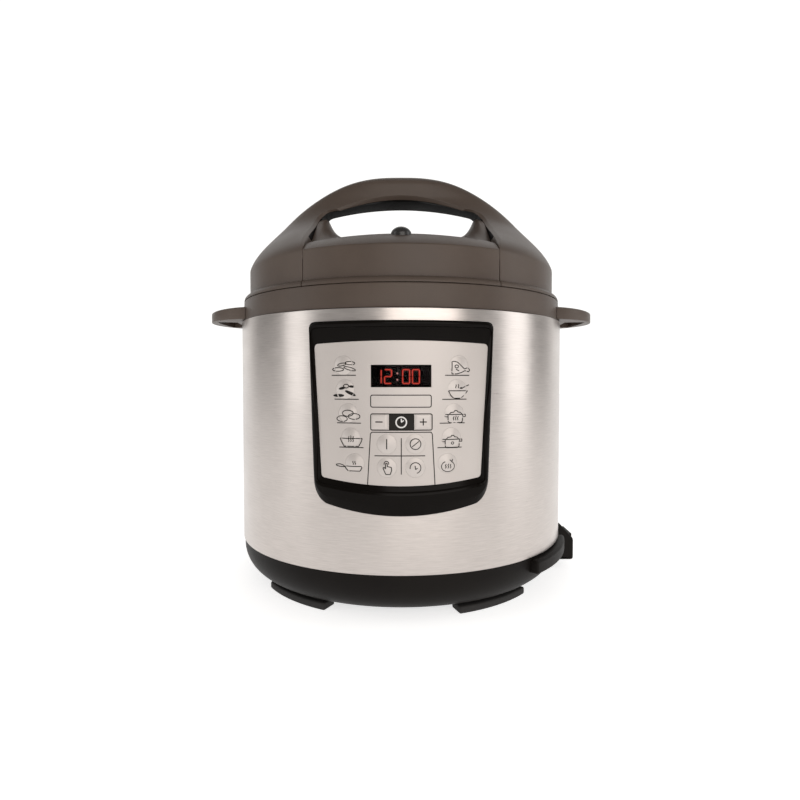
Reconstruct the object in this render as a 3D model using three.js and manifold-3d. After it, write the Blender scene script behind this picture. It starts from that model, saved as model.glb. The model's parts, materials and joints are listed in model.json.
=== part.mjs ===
// Electric pressure cooker, 6 litre class: a steel-clad cooker body with a front control panel,
// a removable inner pot and a bayonet lid. Millimetres, +Z up, front facing -Y, feet on z = 0.

import * as THREE from 'three';
import { mergeVertices } from 'three/addons/utils/BufferGeometryUtils.js';
import Module from 'manifold-3d';

const wasm = await Module();
wasm.setup();

// ---------------------------------------------------------------- driving dimensions

const GAP = 0.3;                 // clearance between neighbouring pieces
const AXIS_Y = -7;               // the pot's axis, set so that the object's box is centred on Y = 0
const ROUND = 40;                // facets round the outer shells
const ROUND_INNER = 24;          // facets round the hidden pieces

const SHELL = { r: 132, wall: 0.8, bottom: 34, top: 205.5 };
const BASE = { r: 131, bottom: 5.5, corner: 24, wall: 2.5, lip: 40 };
const FOOT = { inner: 104, outer: 117, height: 5.2, sweep: 32, middles: [-54, 47, 126, 227] };
const COLLAR = { r: 130.3, inner: 125, bottom: 205.8, top: 221.7 };
const EAR = { centre: 110, r: 50.5, bottom: 207, top: 216.4, recess: 4.5 };

const VESSEL = { r: 117.5, wall: 2, floor: 38, flange: 123.8, rim: 205, top: 217 };
const POT = { bore: 110, wall: 1.2, floor: 53.4, rim: 209.5, flange: 115 };
const HEATER = { r: 88, hole: 17, bottom: 40.4, top: 52.9 };
const SENSOR = { r: 11, stem: 8, top: 53.1 };
const SPRING = { r: 6.5, wire: 0.6, bottom: 21, turns: 4 };
const BAYONET = { count: 8, width: 18, vesselInner: 118.9, lidOuter: 121 };

const PANEL = { r: 137.5, back: 132.3, fascia: 135.3, fasciaBack: 133.2 };
const BEZEL = { top: 197, bottom: 73, halfTop: 60, halfBottom: 56.7, cornerTop: 5, bow: 6.5, shoulder: 93 };
const FASCIA = { top: 184.3, bottom: 92.5, halfTop: 56, halfBottom: 51.6, bow: 4 };
const DISPLAY = { half: 18.8, bottom: 155.2, top: 168.8 };
const KEY = { r: 6.2, clearance: 0.35, crown: 1.1, skirt: 1.4 };

const LID = { r: 125.5, bottom: 222, bead: 130.2, beadTop: 226.4, shoulder: 246, ridge: 331, lean: 0.83, bulge: 2.31 };
const DOME = { half: 66, r: 105, edge: 258, crown: 16, roll: 4.1, wall: 3 };
const RIDGE = { height: 27, top: 4.5, fall: 10, inner: 26, half: 74 };
const GRIP = { half: 17, flareFrom: 246, flareTo: 312, under: 309 };
const FRONT_MOUTH = { corner: 16, side: 299.5, cornerEnd: 299 };   // the way under the grip, at its front
const REAR_MOUTH = { corner: 7, side: 300, cornerEnd: 302 };       // and behind its front lip
const STEEL_LID = { r: 117.8, wall: 1.5, top: 238, bottom: 208.5, toothBottom: 209.5, toothTop: 212 };
const RING = { inner: 105, outer: 114.8, bottom: 211.1, top: 219 };
const VALVE = { y: 68, pipe: 4, flange: 6.5, knob: 12, knobBottom: 270.2, knobTop: 291.6 };
const SHIELD = { inner: 9, outer: 10.5, bottom: 218.4, top: 222.8 };
const FLOAT = { y: -104, cap: 7.1, pin: 2.4, top: 263, bottom: 222 };
const CUP = { half: 18, near: 134.6, far: 151.5, bottom: 150, top: 196, wall: 1.6 };
const BRACKET = { back: 132.3, face: 134.2, bottom: 154, top: 190, lip: 2, reach: 141 };
const INLET = { near: 132.6, far: 146.3, bottom: 7, shoulder: 25, top: 38, half: 17, y: 2 };
const COVER = { r: 60, thick: 2, screwCircle: 52, slots: 7 };
const BOARD_FRONT = -122.4;      // the control board's face towards the keys

// ---------------------------------------------------------------- materials

function finish(color, roughness, metalness) {
  return new THREE.MeshStandardMaterial({ color, roughness, metalness });
}

const BROWN_PLASTIC = finish(0x4b423b, 0.45, 0);
const BLACK_PLASTIC = finish(0x1c1917, 0.5, 0);
const GLOSS_BLACK = finish(0x0d0b0a, 0.15, 0);
const SILVER_PANEL = finish(0xc3bcb6, 0.4, 0.3);
const BRUSHED_STEEL = finish(0xcdc6c0, 0.3, 1);
const ALUMINIUM = finish(0xb9bbbd, 0.4, 1);
const BRASS = finish(0xb08a4a, 0.35, 1);
const SILICONE = finish(0xd6d6d2, 0.7, 0);
const RUBBER = finish(0x22201f, 0.9, 0);
const BOARD = finish(0x1f5a38, 0.6, 0);
const SMOKED_GLASS = finish(0x140c0c, 0.1, 0);

// ---------------------------------------------------------------- solids and booleans

const radians = THREE.MathUtils.degToRad;

// A closed geometry becomes a solid; one whose faces point inwards is turned over first.
function solid(geometry) {
  const bare = geometry.clone();
  bare.deleteAttribute('normal');
  bare.deleteAttribute('uv');
  const merged = mergeVertices(bare, 1e-4);
  const points = merged.getAttribute('position').array;
  const corners = [];
  let volume = 0;
  const [a, b, c] = [new THREE.Vector3(), new THREE.Vector3(), new THREE.Vector3()];
  const index = merged.index.array;
  for (let i = 0; i < index.length; i += 3) {
    const [p, q, r] = [index[i], index[i + 1], index[i + 2]];
    if (p === q || q === r || r === p) continue;
    corners.push(p, q, r);
    volume += a.fromArray(points, 3 * p).dot(b.fromArray(points, 3 * q).cross(c.fromArray(points, 3 * r)));
  }
  if (volume < 0) {
    for (let i = 0; i < corners.length; i += 3) [corners[i], corners[i + 1]] = [corners[i + 1], corners[i]];
  }
  return new wasm.Manifold(new wasm.Mesh({
    numProp: 3, vertProperties: new Float32Array(points), triVerts: new Uint32Array(corners),
  }));
}

function solidOf(points, faces) {
  const geometry = new THREE.BufferGeometry();
  geometry.setAttribute('position', new THREE.Float32BufferAttribute(points, 3));
  geometry.setIndex(faces);
  return solid(geometry);
}

function geometryOf(body) {
  const mesh = body.getMesh();
  const geometry = new THREE.BufferGeometry();
  geometry.setAttribute('position', new THREE.BufferAttribute(new Float32Array(mesh.vertProperties), 3));
  geometry.setIndex(new THREE.BufferAttribute(new Uint32Array(mesh.triVerts), 1));
  geometry.computeVertexNormals();
  return geometry;
}

// A profile of [radius, height] pairs that closes on itself, turned about Z.
function turned(profile, segments = ROUND_INNER) {
  const points = profile.map(([r, z]) => new THREE.Vector2(r, z));
  points.push(points[0].clone());
  return solid(new THREE.LatheGeometry(points, segments).rotateX(Math.PI / 2));
}

// A profile whose two ends lie on the axis, turned about Z.
function turnedSolid(profile, segments = ROUND_INNER) {
  const points = profile.map(([r, z]) => new THREE.Vector2(r, z));
  return solid(new THREE.LatheGeometry(points, segments).rotateX(Math.PI / 2));
}

function disc(r, bottom, top, segments = ROUND_INNER, x = 0, y = 0) {
  return turnedSolid([[0, bottom], [r, bottom], [r, top], [0, top]], segments).translate([x, y, 0]);
}

function pipe(inner, outer, bottom, top, segments = ROUND_INNER, x = 0, y = 0) {
  const profile = [[inner, bottom], [outer, bottom], [outer, top], [inner, top]];
  return turned(profile, segments).translate([x, y, 0]);
}

function box(x0, x1, y0, y1, z0, z1) {
  const geometry = new THREE.BoxGeometry(x1 - x0, y1 - y0, z1 - z0);
  return solid(geometry.translate((x0 + x1) / 2, (y0 + y1) / 2, (z0 + z1) / 2));
}

const polygon = (corners) => new THREE.Shape(corners.map(([a, b]) => new THREE.Vector2(a, b)));

// An outline in X and Y, raised from one height to another.
function raised(shape, bottom, top, curveSegments = 12) {
  const options = { depth: top - bottom, bevelEnabled: false, curveSegments };
  const geometry = new THREE.ExtrudeGeometry(shape, options);
  return solid(geometry.translate(0, 0, bottom));
}

// An outline in X and Z, drawn out along Y.
function drawn(shape, y0, y1, curveSegments = 12) {
  const geometry = new THREE.ExtrudeGeometry(shape, { depth: y1 - y0, bevelEnabled: false, curveSegments });
  return solid(geometry.rotateX(Math.PI / 2).translate(0, y1, 0));
}

// A block bent round the axis: angles in degrees from +X, counter-clockwise from above.
function arcBlock(inner, outer, bottom, top, from, to, segments = 10) {
  const shape = new THREE.Shape();
  shape.absarc(0, 0, outer, radians(from), radians(to), false);
  shape.absarc(0, 0, inner, radians(to), radians(from), true);
  return raised(shape, bottom, top, segments);
}

const unite = (first, ...rest) => rest.reduce((whole, piece) => whole.add(piece), first);
const cut = (first, ...rest) => rest.reduce((whole, piece) => whole.subtract(piece), first);

// Points of a circular arc in a profile, angles in degrees.
function arcPoints(r, z, radius, from, to, steps) {
  return Array.from({ length: steps + 1 }, (_, i) => {
    const angle = radians(from + ((to - from) * i) / steps);
    return [r + radius * Math.cos(angle), z + radius * Math.sin(angle)];
  });
}

// ---------------------------------------------------------------- the scene graph

const cooker = new THREE.Group();
cooker.position.y = AXIS_Y;

function place(name, body, material, parent = cooker) {
  const mesh = new THREE.Mesh(geometryOf(body), material);
  mesh.name = name;
  parent.add(mesh);
  return mesh;
}

// ---------------------------------------------------------------- base

function baseTray() {
  const centre = BASE.r - BASE.corner;
  const inner = BASE.corner - BASE.wall;
  const bowl = turned([
    [COVER.r, BASE.bottom], ...arcPoints(centre, BASE.bottom + BASE.corner, BASE.corner, -90, 0, 5),
    [BASE.r, SHELL.bottom - GAP], [BASE.r - 0.9, SHELL.bottom - GAP], [BASE.r - 0.9, BASE.lip],
    [BASE.r - BASE.wall, BASE.lip],
    ...arcPoints(centre, BASE.bottom + BASE.corner, inner, 0, -90, 3), [COVER.r, BASE.bottom + BASE.wall],
  ], ROUND);
  const ledge = arcBlock(129, 137, 21, 31.5, -47, -12, 8);
  const section = polygon([
    [126, INLET.bottom], [INLET.far, INLET.bottom], [INLET.far, INLET.shoulder], [134, INLET.top],
    [126, INLET.top],
  ]);
  const hood = drawn(section, INLET.y - INLET.half, INLET.y + INLET.half);
  const socket = inletBlock(INLET.near - 2 * GAP, INLET.far + 1, GAP);
  const tray = unite(bowl, ledge, hood);
  const shellSpace = pipe(SHELL.r - 1.4 - GAP, SHELL.r + GAP, SHELL.bottom - GAP, 60, ROUND);
  const openBottom = disc(COVER.r, 0, 12, ROUND);
  return cut(tray, shellSpace, openBottom, socket);
}

function bottomCover() {
  const vents = [];
  for (let i = 0; i < COVER.slots; i += 1) {
    const y = 8 * (i - (COVER.slots - 1) / 2);
    vents.push(box(-26, 26, y - 1.6, y + 1.6, 0, 12));
  }
  const plate = disc(COVER.r - GAP, BASE.bottom, BASE.bottom + COVER.thick, 48);
  return cut(plate, ...vents, ...screwPlaces().map(([x, y]) => disc(1.9, 0, 12, 10, x, y)));
}

function screwPlaces() {
  return [90, 210, 330].map(radians).map((angle) => [
    COVER.screwCircle * Math.cos(angle), COVER.screwCircle * Math.sin(angle),
  ]);
}

function baseScrew([x, y]) {
  const profile = [[0, 3.7], [3.2, 3.7], [3.2, 5.2], [1.6, 5.2], [1.6, 13], [0, 13]];
  return turnedSolid(profile, 10).translate([x, y, 0]);
}

function foot(index) {
  const start = FOOT.middles[index] - FOOT.sweep / 2;
  return arcBlock(FOOT.inner, FOOT.outer, 0, FOOT.height, start, start + FOOT.sweep, 9);
}

// The block that fills the hood's socket.
function inletBlock(near, far, grow = 0) {
  return box(near, far, INLET.y - 12 - grow, INLET.y + 12 + grow, 8.8 - grow, 28.4 + grow);
}

// Appliance inlet: an insulating block with three flat pins in a well that opens outwards.
function powerInlet() {
  const body = inletBlock(INLET.near, INLET.far - 0.6);
  const well = box(136, INLET.far + 1, INLET.y - 10.4, INLET.y + 10.4, 10.6, 26.6);
  return cut(body, well, ...INLET_PINS.map(([y, z]) => inletPin([y, z], GAP)));
}

const INLET_PINS = [[INLET.y - 6, 15], [INLET.y + 6, 15], [INLET.y, 21.5]];

function inletPin([y, z], grow = 0) {
  return box(133.2 - grow, 144, y - 1 - grow, y + 1 + grow, z - 2 - grow, z + 2 + grow);
}

// ---------------------------------------------------------------- shell and collar

function outerShell() {
  const { r, wall, bottom, top } = SHELL;
  const tube = turned([
    [r - 1.4, bottom], [r - 0.5, bottom], [r, bottom + 0.5], [r, top - 0.5], [r - 0.5, top], [r - 1.4, top],
    [r - wall, top - 1.3], [r - wall, bottom + 1.3],
  ], ROUND);
  return cut(tube, box(-50, 50, -140, -100, 84, 186));
}

function topCollar() {
  const { r, inner, bottom, top } = COLLAR;
  const relief = VESSEL.flange + 0.8;
  return turned([
    [r, bottom], [r, top - 1], [r - 1, top], [inner, top], [inner, bottom + 5], [relief, bottom + 5],
    [relief, bottom],
  ], ROUND);
}

// A round ear that stands out of the collar, with a recess for the fingertips in its underside.
function sideHandle(side) {
  const reach = EAR.centre + EAR.r;
  const ear = disc(EAR.r, EAR.bottom, EAR.top, ROUND, EAR.centre);
  const recess = arcBlock(COLLAR.r + 6, reach - 8, EAR.bottom - 1, EAR.bottom + EAR.recess, -9, 9, 6);
  const handle = cut(ear, disc(COLLAR.r + GAP, 200, 225, ROUND), recess);
  return side > 0 ? handle : handle.rotate([0, 0, 180]);
}

// ---------------------------------------------------------------- cooking vessel and heating

function ringTeeth(inner, outer, bottom, top) {
  return Array.from({ length: BAYONET.count }, (_, i) => {
    const middle = (360 / BAYONET.count) * i;
    return arcBlock(inner, outer, bottom, top, middle - BAYONET.width / 2, middle + BAYONET.width / 2, 2);
  });
}

function pressureVessel() {
  const { r, wall, floor, flange, rim, top } = VESSEL;
  const cup = turned([
    [HEATER.hole + 1, floor], [r - 8, floor], [r, floor + 8], [r, rim], [flange, rim], [flange, top],
    [flange - 1.6, top], [flange - 1.6, rim + wall], [r - wall, rim + wall], [r - wall, floor + 9],
    [r - 9, floor + wall], [HEATER.hole + 1, floor + wall],
  ]);
  return unite(cup, ...ringTeeth(BAYONET.vesselInner, flange - 1, top - 2, top));
}

function innerPot() {
  const { bore, wall, floor, rim, flange } = POT;
  const outer = bore + wall;
  return turnedSolid([
    [0, floor], [outer - 10, floor], ...arcPoints(outer - 10, floor + 10, 10, -70, 0, 3), [outer, rim],
    [flange, rim], [flange, rim + wall], [bore, rim + wall],
    ...arcPoints(bore - 9, floor + 10.2, 9, 0, -90, 4), [0, floor + wall],
  ]);
}

function heatingPlate() {
  const { r, hole, bottom, top } = HEATER;
  return turned([[hole, bottom], [r, bottom], [r, top - 3], [r - 3, top - 1], [hole + 4, top], [hole, top]]);
}

function temperatureSensor() {
  const { r, stem, top } = SENSOR;
  return turnedSolid([
    [0, top - 9], [stem, top - 9], [stem, top - 6], [r, top - 6], [r, top - 1], [r - 1.5, top], [0, top],
  ], 32);
}

class Helix extends THREE.Curve {
  constructor(radius, bottom, top, turns) {
    super();
    Object.assign(this, { radius, bottom, top, turns });
  }

  getPoint(t, target = new THREE.Vector3()) {
    const angle = 2 * Math.PI * this.turns * t;
    const z = this.bottom + (this.top - this.bottom) * t;
    return target.set(this.radius * Math.cos(angle), this.radius * Math.sin(angle), z);
  }
}

function sensorSpring() {
  const wire = new THREE.Shape().absarc(0, 0, SPRING.wire, 0, 2 * Math.PI, false);
  const path = new Helix(SPRING.r, SPRING.bottom, SENSOR.top - 10, SPRING.turns);
  return solid(new THREE.ExtrudeGeometry(wire, { steps: 48, extrudePath: path, curveSegments: 3 }));
}

function powerBoard() {
  const relay = box(-40, -20, 30, 46, 15.4, 31);
  const capacitor = disc(7, 15.4, 33, 16, -4, 40);
  const transformer = box(12, 40, 26, 50, 15.4, 34);
  return unite(box(-46, 46, 22, 76, 14, 15.6), relay, capacitor, transformer);
}

function pressureSwitch() {
  return unite(box(48, 70, -48, -30, 12, 30), disc(4, 29.5, 37.6, 16, 59, -39));
}

// ---------------------------------------------------------------- control panel

// The part of an outline on the front that lies between two radii.
function onFront(shape, inner, outer) {
  const slab = drawn(shape, -PANEL.r - 10, -60, 8);
  return slab.intersect(pipe(inner, outer, 40, 230, ROUND));
}

function bezelOutline(shrink = 0) {
  const { top, bottom, halfTop, halfBottom, cornerTop, bow, shoulder } = BEZEL;
  const side = halfTop - shrink;
  const low = halfBottom - shrink;
  const shape = new THREE.Shape();
  shape.moveTo(-side + cornerTop, top - shrink);
  shape.lineTo(side - cornerTop, top - shrink);
  shape.quadraticCurveTo(side, top - shrink, side - 0.2, top - shrink - cornerTop);
  shape.lineTo(low, shoulder);
  shape.quadraticCurveTo(low - 1, shoulder - 10, low - 8, bottom + bow + shrink);
  shape.quadraticCurveTo(0, bottom - bow + shrink, -low + 8, bottom + bow + shrink);
  shape.quadraticCurveTo(-low + 1, shoulder - 10, -low, shoulder);
  shape.lineTo(-side + 0.2, top - shrink - cornerTop);
  shape.quadraticCurveTo(-side, top - shrink, -side + cornerTop, top - shrink);
  return shape;
}

function fasciaOutline(grow = 0) {
  const { top, bottom, halfTop, halfBottom, bow } = FASCIA;
  const corner = 3;
  const [right, low] = [halfTop + grow, halfBottom + grow];
  const [high, base] = [top + grow, bottom - grow];
  const shape = new THREE.Shape();
  shape.moveTo(-right + corner, high - 1.5);
  shape.quadraticCurveTo(0, high + 1.5, right - corner, high - 1.5);
  shape.quadraticCurveTo(right, high - 1.5, right, high - 1.5 - corner);
  shape.lineTo(low, base + bow + corner);
  shape.quadraticCurveTo(low, base + bow, low - corner, base + bow);
  shape.quadraticCurveTo(0, base - bow, -low + corner, base + bow);
  shape.quadraticCurveTo(-low, base + bow, -low, base + bow + corner);
  shape.lineTo(-right, high - 1.5 - corner);
  shape.quadraticCurveTo(-right, high - 1.5, -right + corner, high - 1.5);
  return shape;
}

function panelBezel() {
  const frame = onFront(bezelOutline(), PANEL.back, PANEL.r);
  const opening = onFront(fasciaOutline(GAP), PANEL.back - 2, PANEL.r + 2);
  return cut(frame, opening);
}

function rectangle(half, bottom, top, grow = 0) {
  const [side, low, high] = [half + grow, bottom - grow, top + grow];
  return polygon([[-side, low], [side, low], [side, high], [-side, high]]);
}

function panelFascia() {
  const plate = onFront(fasciaOutline(), PANEL.fasciaBack, PANEL.fascia);
  const windowHole = drawn(rectangle(DISPLAY.half, DISPLAY.bottom, DISPLAY.top, GAP), -150, -100);
  return cut(plate, windowHole, ...KEYS.map((key) => keyBody(key, KEY.clearance)));
}

// Keys: the row heights, and for each the distance either side of the middle.
const FOOD_ROWS = [[168.8, 36.8], [153.6, 35.6], [138.5, 33.8], [123, 32], [106.6, 29.5]];
const COMMAND_ROWS = [119.2, 104.2];
const COMMAND_HALF = 9;
const STEP_KEY = { height: 133.1, x: 13.9, half: 5.2, rise: 4.7 };

const KEYS = [
  ...FOOD_ROWS.map(([z, x], i) => ({ name: `food_key_left_${i + 1}`, x: -x, z })),
  ...FOOD_ROWS.map(([z, x], i) => ({ name: `food_key_right_${i + 1}`, x, z })),
  ...['start', 'stop', 'manual', 'delay'].map((job, i) => ({
    name: `${job}_key`, x: COMMAND_HALF * (i % 2 ? 1 : -1), z: COMMAND_ROWS[i >> 1],
  })),
  { name: 'minus_key', x: -STEP_KEY.x, z: STEP_KEY.height, flat: true },
  { name: 'plus_key', x: STEP_KEY.x, z: STEP_KEY.height, flat: true },
];

// A key stands on the curved fascia, its own axis pointing straight out of it.
function keyBody({ x, z, flat = false }, grow = 0) {
  const depth = KEY.skirt + 10 * grow;
  const r = KEY.r + grow;
  const [half, rise] = [STEP_KEY.half + grow, STEP_KEY.rise + grow];
  const lift = 10 * grow;
  const crown = KEY.crown + lift;
  const dome = [[0, -depth], [r, -depth], [r, 0.2 + lift], [r * 0.7, crown], [0, crown + 0.3]];
  const cap = flat ? box(-half, half, -rise, rise, -depth, 0.6 + lift) : turnedSolid(dome, 12);
  const turn = (Math.asin(x / PANEL.fascia) * 180) / Math.PI;
  return cap.rotate([90, 0, 0]).translate([0, -PANEL.fascia, z]).rotate([0, 0, turn]);
}

const displayWindow = () => onFront(rectangle(DISPLAY.half, DISPLAY.bottom, DISPLAY.top), 134, PANEL.fascia);

function displayModule() {
  return box(-DISPLAY.half + 1, DISPLAY.half - 1, -130.6, -124.6, DISPLAY.bottom, DISPLAY.top);
}

function controlBoard() {
  const back = BOARD_FRONT + 1.6;
  const controller = box(-30, -18, back - 0.1, back + 1.6, 96, 108);
  const driver = box(20, 30, back - 0.1, back + 1.4, 112, 120);
  const socket = box(-8, 8, BOARD_FRONT - 1.9, BOARD_FRONT + 0.2, 157, 167);
  return unite(box(-44, 44, BOARD_FRONT, back, 88, 182), controller, driver, socket);
}

// ---------------------------------------------------------------- lid

const smoothstep = (t) => THREE.MathUtils.smoothstep(t, 0, 1);

// The lid's outer skin: half width, half depth and squareness of its section at a height.
function lidSection(z) {
  if (z <= LID.beadTop) {
    const rise = Math.max(0, z - LID.bottom) / (LID.beadTop - LID.bottom);
    const r = LID.r + (LID.bead - LID.r) * Math.sqrt(Math.max(0, 1 - rise * rise));
    return { wide: r, deep: r, power: 2 };
  }
  const climb = Math.min(1, Math.max(0, (z - LID.shoulder) / (LID.ridge - LID.shoulder)));
  const wide = LID.r * (1 - climb ** (1 / LID.lean)) ** (1 / LID.bulge);
  const flare = 1 - smoothstep((z - GRIP.flareFrom) / (GRIP.flareTo - GRIP.flareFrom));
  const top = Math.min(1, Math.max(0, (z - LID.ridge + 10) / 10));
  const grip = GRIP.half * Math.sqrt(1 - top * top);
  const deep = Math.min(wide, grip + (wide - GRIP.half) * flare);
  return { wide, deep: Math.max(deep, 0.4), power: 2 + 0.8 * smoothstep((z - 285) / 25) };
}

// A solid lofted through the lid's sections, set in from the skin by a wall thickness.
function lidLoft(heights, inset = 0) {
  const sides = ROUND;
  const points = [];
  const faces = [];
  const signed = (value, power) => Math.sign(value) * Math.abs(value) ** (2 / power);
  heights.forEach((z) => {
    const { wide, deep, power } = lidSection(z + inset);
    for (let i = 0; i < sides; i += 1) {
      const angle = (2 * Math.PI * i) / sides;
      const x = (wide - inset) * signed(Math.cos(angle), power);
      const y = (deep - inset) * signed(Math.sin(angle), power);
      points.push(x, y, z);
    }
  });
  const last = heights.length - 1;
  points.push(0, 0, heights[0], 0, 0, heights[last]);
  const [low, high] = [heights.length * sides, heights.length * sides + 1];
  for (let i = 0; i < sides; i += 1) {
    const j = (i + 1) % sides;
    faces.push(low, j, i, high, last * sides + i, last * sides + j);
    for (let k = 0; k < last; k += 1) {
      const [a, b, c, d] = [k * sides + i, k * sides + j, (k + 1) * sides + j, (k + 1) * sides + i];
      faces.push(a, b, c, a, c, d);
    }
  }
  return solidOf(points, faces);
}

// The way through under the grip, as an outline in X and Z.
function tunnelOutline({ corner, side, cornerEnd }, lift = 0) {
  const half = DOME.half + GAP;
  const shape = new THREE.Shape();
  shape.moveTo(-half, LID.bottom - 10);
  shape.lineTo(half, LID.bottom - 10);
  shape.lineTo(half, side - corner + lift);
  shape.quadraticCurveTo(half, side + lift, half - corner, cornerEnd + lift);
  shape.quadraticCurveTo(0, 2 * GRIP.under - cornerEnd + lift, -half + corner, cornerEnd + lift);
  shape.quadraticCurveTo(-half, side + lift, -half, side - corner + lift);
  return shape;
}

const SKIN_HEIGHTS = [
  LID.bottom, 224.4, LID.beadTop, LID.shoulder, 254, 262, 270, 278, 286, 294, 302, 310, 318, 324, 328,
  LID.ridge,
];
const HOLLOW_HEIGHTS = [LID.bottom - 1, 243, 254, 266, 276, 286];
const INSERT = { half: 50, depth: 13.5, thick: 3, bottom: 290, top: 330 };  // the strip under the grip

function lidHandle() {
  const skin = lidLoft(SKIN_HEIGHTS);
  const { wall } = DOME;
  const hollow = lidLoft(HOLLOW_HEIGHTS, wall).intersect(disc(LID.r - wall, 215, 300, ROUND));
  const walls = box(-DOME.half - wall - 0.6, DOME.half + wall + 0.6, -140, 140, STEEL_LID.top + 3, 340);
  const lip = -INSERT.depth - GAP;
  const ways = [drawn(tunnelOutline(FRONT_MOUTH), -150, lip), drawn(tunnelOutline(REAR_MOUTH), lip, 150)];
  return cut(skin, cut(hollow, walls), ...ways, insertStrip(GAP));
}

// The strip that closes the grip from below.
function insertStrip(grow) {
  const half = INSERT.half + grow;
  const depth = INSERT.depth + grow;
  return drawn(tunnelOutline(REAR_MOUTH, INSERT.thick + grow), -depth, depth)
    .intersect(box(-half, half, -depth - 1, depth + 1, INSERT.bottom, INSERT.top));
}

const handleUnderside = () => cut(insertStrip(0), drawn(tunnelOutline(REAR_MOUTH), -20, 20));

// The height of the lid's middle at a distance from the axis.
function domeTop(r) {
  const past = Math.max(0, (r - DOME.r) / (LID.r - DOME.r));
  return DOME.edge + DOME.crown * (1 - (r / DOME.r) ** 2) - DOME.roll * past ** 2.2;
}

// How far the cover sweeps up from the dome towards the handle's legs.
function ridgeHeight(x, y) {
  const fade = Math.max(0, 1 - (y / RIDGE.half) ** 2) ** 1.5;
  return RIDGE.height * fade * Math.exp(-Math.max(0, DOME.half - x - RIDGE.top) / RIDGE.fall);
}

function coverRidge(side) {
  const steps = [0, 8, 15, 21, 26, 30, 33, 35.5, 37.8, DOME.half - RIDGE.inner];
  const across = steps.map((step) => RIDGE.inner + step);
  const along = Array.from({ length: 15 }, (_, i) => (RIDGE.half * (i - 7)) / 7);
  const columns = [];
  along.forEach((y) => {
    across.forEach((x) => columns.push([side * x, y, domeTop(Math.hypot(x, y)) + ridgeHeight(x, y) + 0.02]));
    across.forEach((x) => columns.push([side * x, y, domeTop(Math.hypot(x, y)) - 1]));
  });
  return lofted(columns, along.length, across.length);
}

// A solid between two sheets of points: each row holds its upper points, then its lower ones.
function lofted(points, rows, width) {
  const faces = [];
  const quad = (a, b, c, d) => faces.push(a, b, c, a, c, d);
  const ring = 2 * width;
  const loop = [...Array(width).keys(), ...[...Array(width).keys()].map((i) => ring - 1 - i)];
  for (let row = 0; row < rows - 1; row += 1) {
    loop.forEach((corner, i) => {
      const next = loop[(i + 1) % ring];
      quad(row * ring + corner, row * ring + next, (row + 1) * ring + next, (row + 1) * ring + corner);
    });
  }
  for (let i = 0; i < width - 1; i += 1) {
    const last = (rows - 1) * ring;
    quad(i + 1, i, width + i, width + i + 1);
    quad(last + i, last + i + 1, last + width + i + 1, last + width + i);
  }
  return solidOf(points.flat(), faces);
}

function lidCover() {
  const bead = [0, 30, 60, 90].map((angle) => [
    LID.r + (LID.bead - LID.r) * Math.cos(radians(angle)),
    LID.bottom + (LID.beadTop - LID.bottom) * Math.sin(radians(angle)),
  ]);
  const crown = [125.5, 121, 116, 111, 105, 90, 70, 50, 25, 0].map((r) => [r, domeTop(r)]);
  const under = [0, 25, 50, 70, 90, 103, 112, 118].map((r) => [r, domeTop(r) - DOME.wall]);
  const whole = turnedSolid([
    ...crown.reverse(), ...bead.reverse(), [122.4, LID.bottom], [122.4, 240], ...under.reverse(),
  ], ROUND);
  const middle = box(-DOME.half, DOME.half, -140, 140, 215, 310);
  const holes = [[FLOAT.cap + GAP, FLOAT.y], [VALVE.flange + 0.5, VALVE.y]]
    .map(([bore, y]) => disc(bore, 230, 300, 24, 0, y));
  const way = drawn(tunnelOutline(FRONT_MOUTH, -2 * GAP), -100, 100);
  const ridges = unite(coverRidge(-1), coverRidge(1)).intersect(way);
  return cut(unite(whole.intersect(middle), ridges), ...holes);
}

function steelLid() {
  const { r, wall, top, bottom, toothBottom, toothTop } = STEEL_LID;
  const corner = 10;
  const dish = turnedSolid([
    [0, top], ...arcPoints(r - corner, top - corner, corner, 90, 0, 4), [r, bottom], [r - wall, bottom],
    ...arcPoints(r - corner, top - corner, corner - wall, 0, 90, 4), [0, top - wall],
  ]);
  const teeth = ringTeeth(r - 0.5, BAYONET.lidOuter, toothBottom, toothTop);
  const holes = [[3, FLOAT.y], [VALVE.pipe + GAP, VALVE.y], [3.3, 0]]
    .map(([bore, y]) => disc(bore, 220, 250, 18, 0, y));
  return cut(unite(dish, ...teeth), ...holes);
}

function centrePost() {
  const foot = STEEL_LID.bottom + 0.4;
  const seat = STEEL_LID.top + GAP;
  const head = seat + 3.7;
  return turnedSolid([
    [0, foot], [2.6, foot], [2.6, 235], [3, 235], [3, seat], [6, seat], [6, head], [0, head],
  ], 20);
}

function innerLidPlate() {
  const plate = turned([
    [6.2, 212], [RING.inner - 0.6, 212], [RING.inner - 0.6, 214.2], [96, 214.2], [90, 217], [6.2, 217],
  ]);
  return cut(plate, disc(6, 205, 222, 16, 0, VALVE.y));
}

function sealingRing() {
  const { inner, outer, bottom, top } = RING;
  return turned([
    [inner, bottom + 0.6], [outer - 6, bottom], [outer, bottom + 0.4], [outer, bottom + 3.4],
    [outer - 4, top], [outer - 6, top], [outer - 3, bottom + 3], [inner, bottom + 3.6],
  ]);
}

const grommet = () => pipe(2.9, 5.9, 213, 219);

function ventPipe() {
  const { pipe: outer, flange, knobBottom } = VALVE;
  const bore = 2;
  const top = knobBottom + 1.4;
  const profile = [[bore, 222], [flange, 222], [flange, 236.2], [outer, 236.2], [outer, top], [bore, top]];
  return turned(profile, 20).translate([0, VALVE.y, 0]);
}

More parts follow.
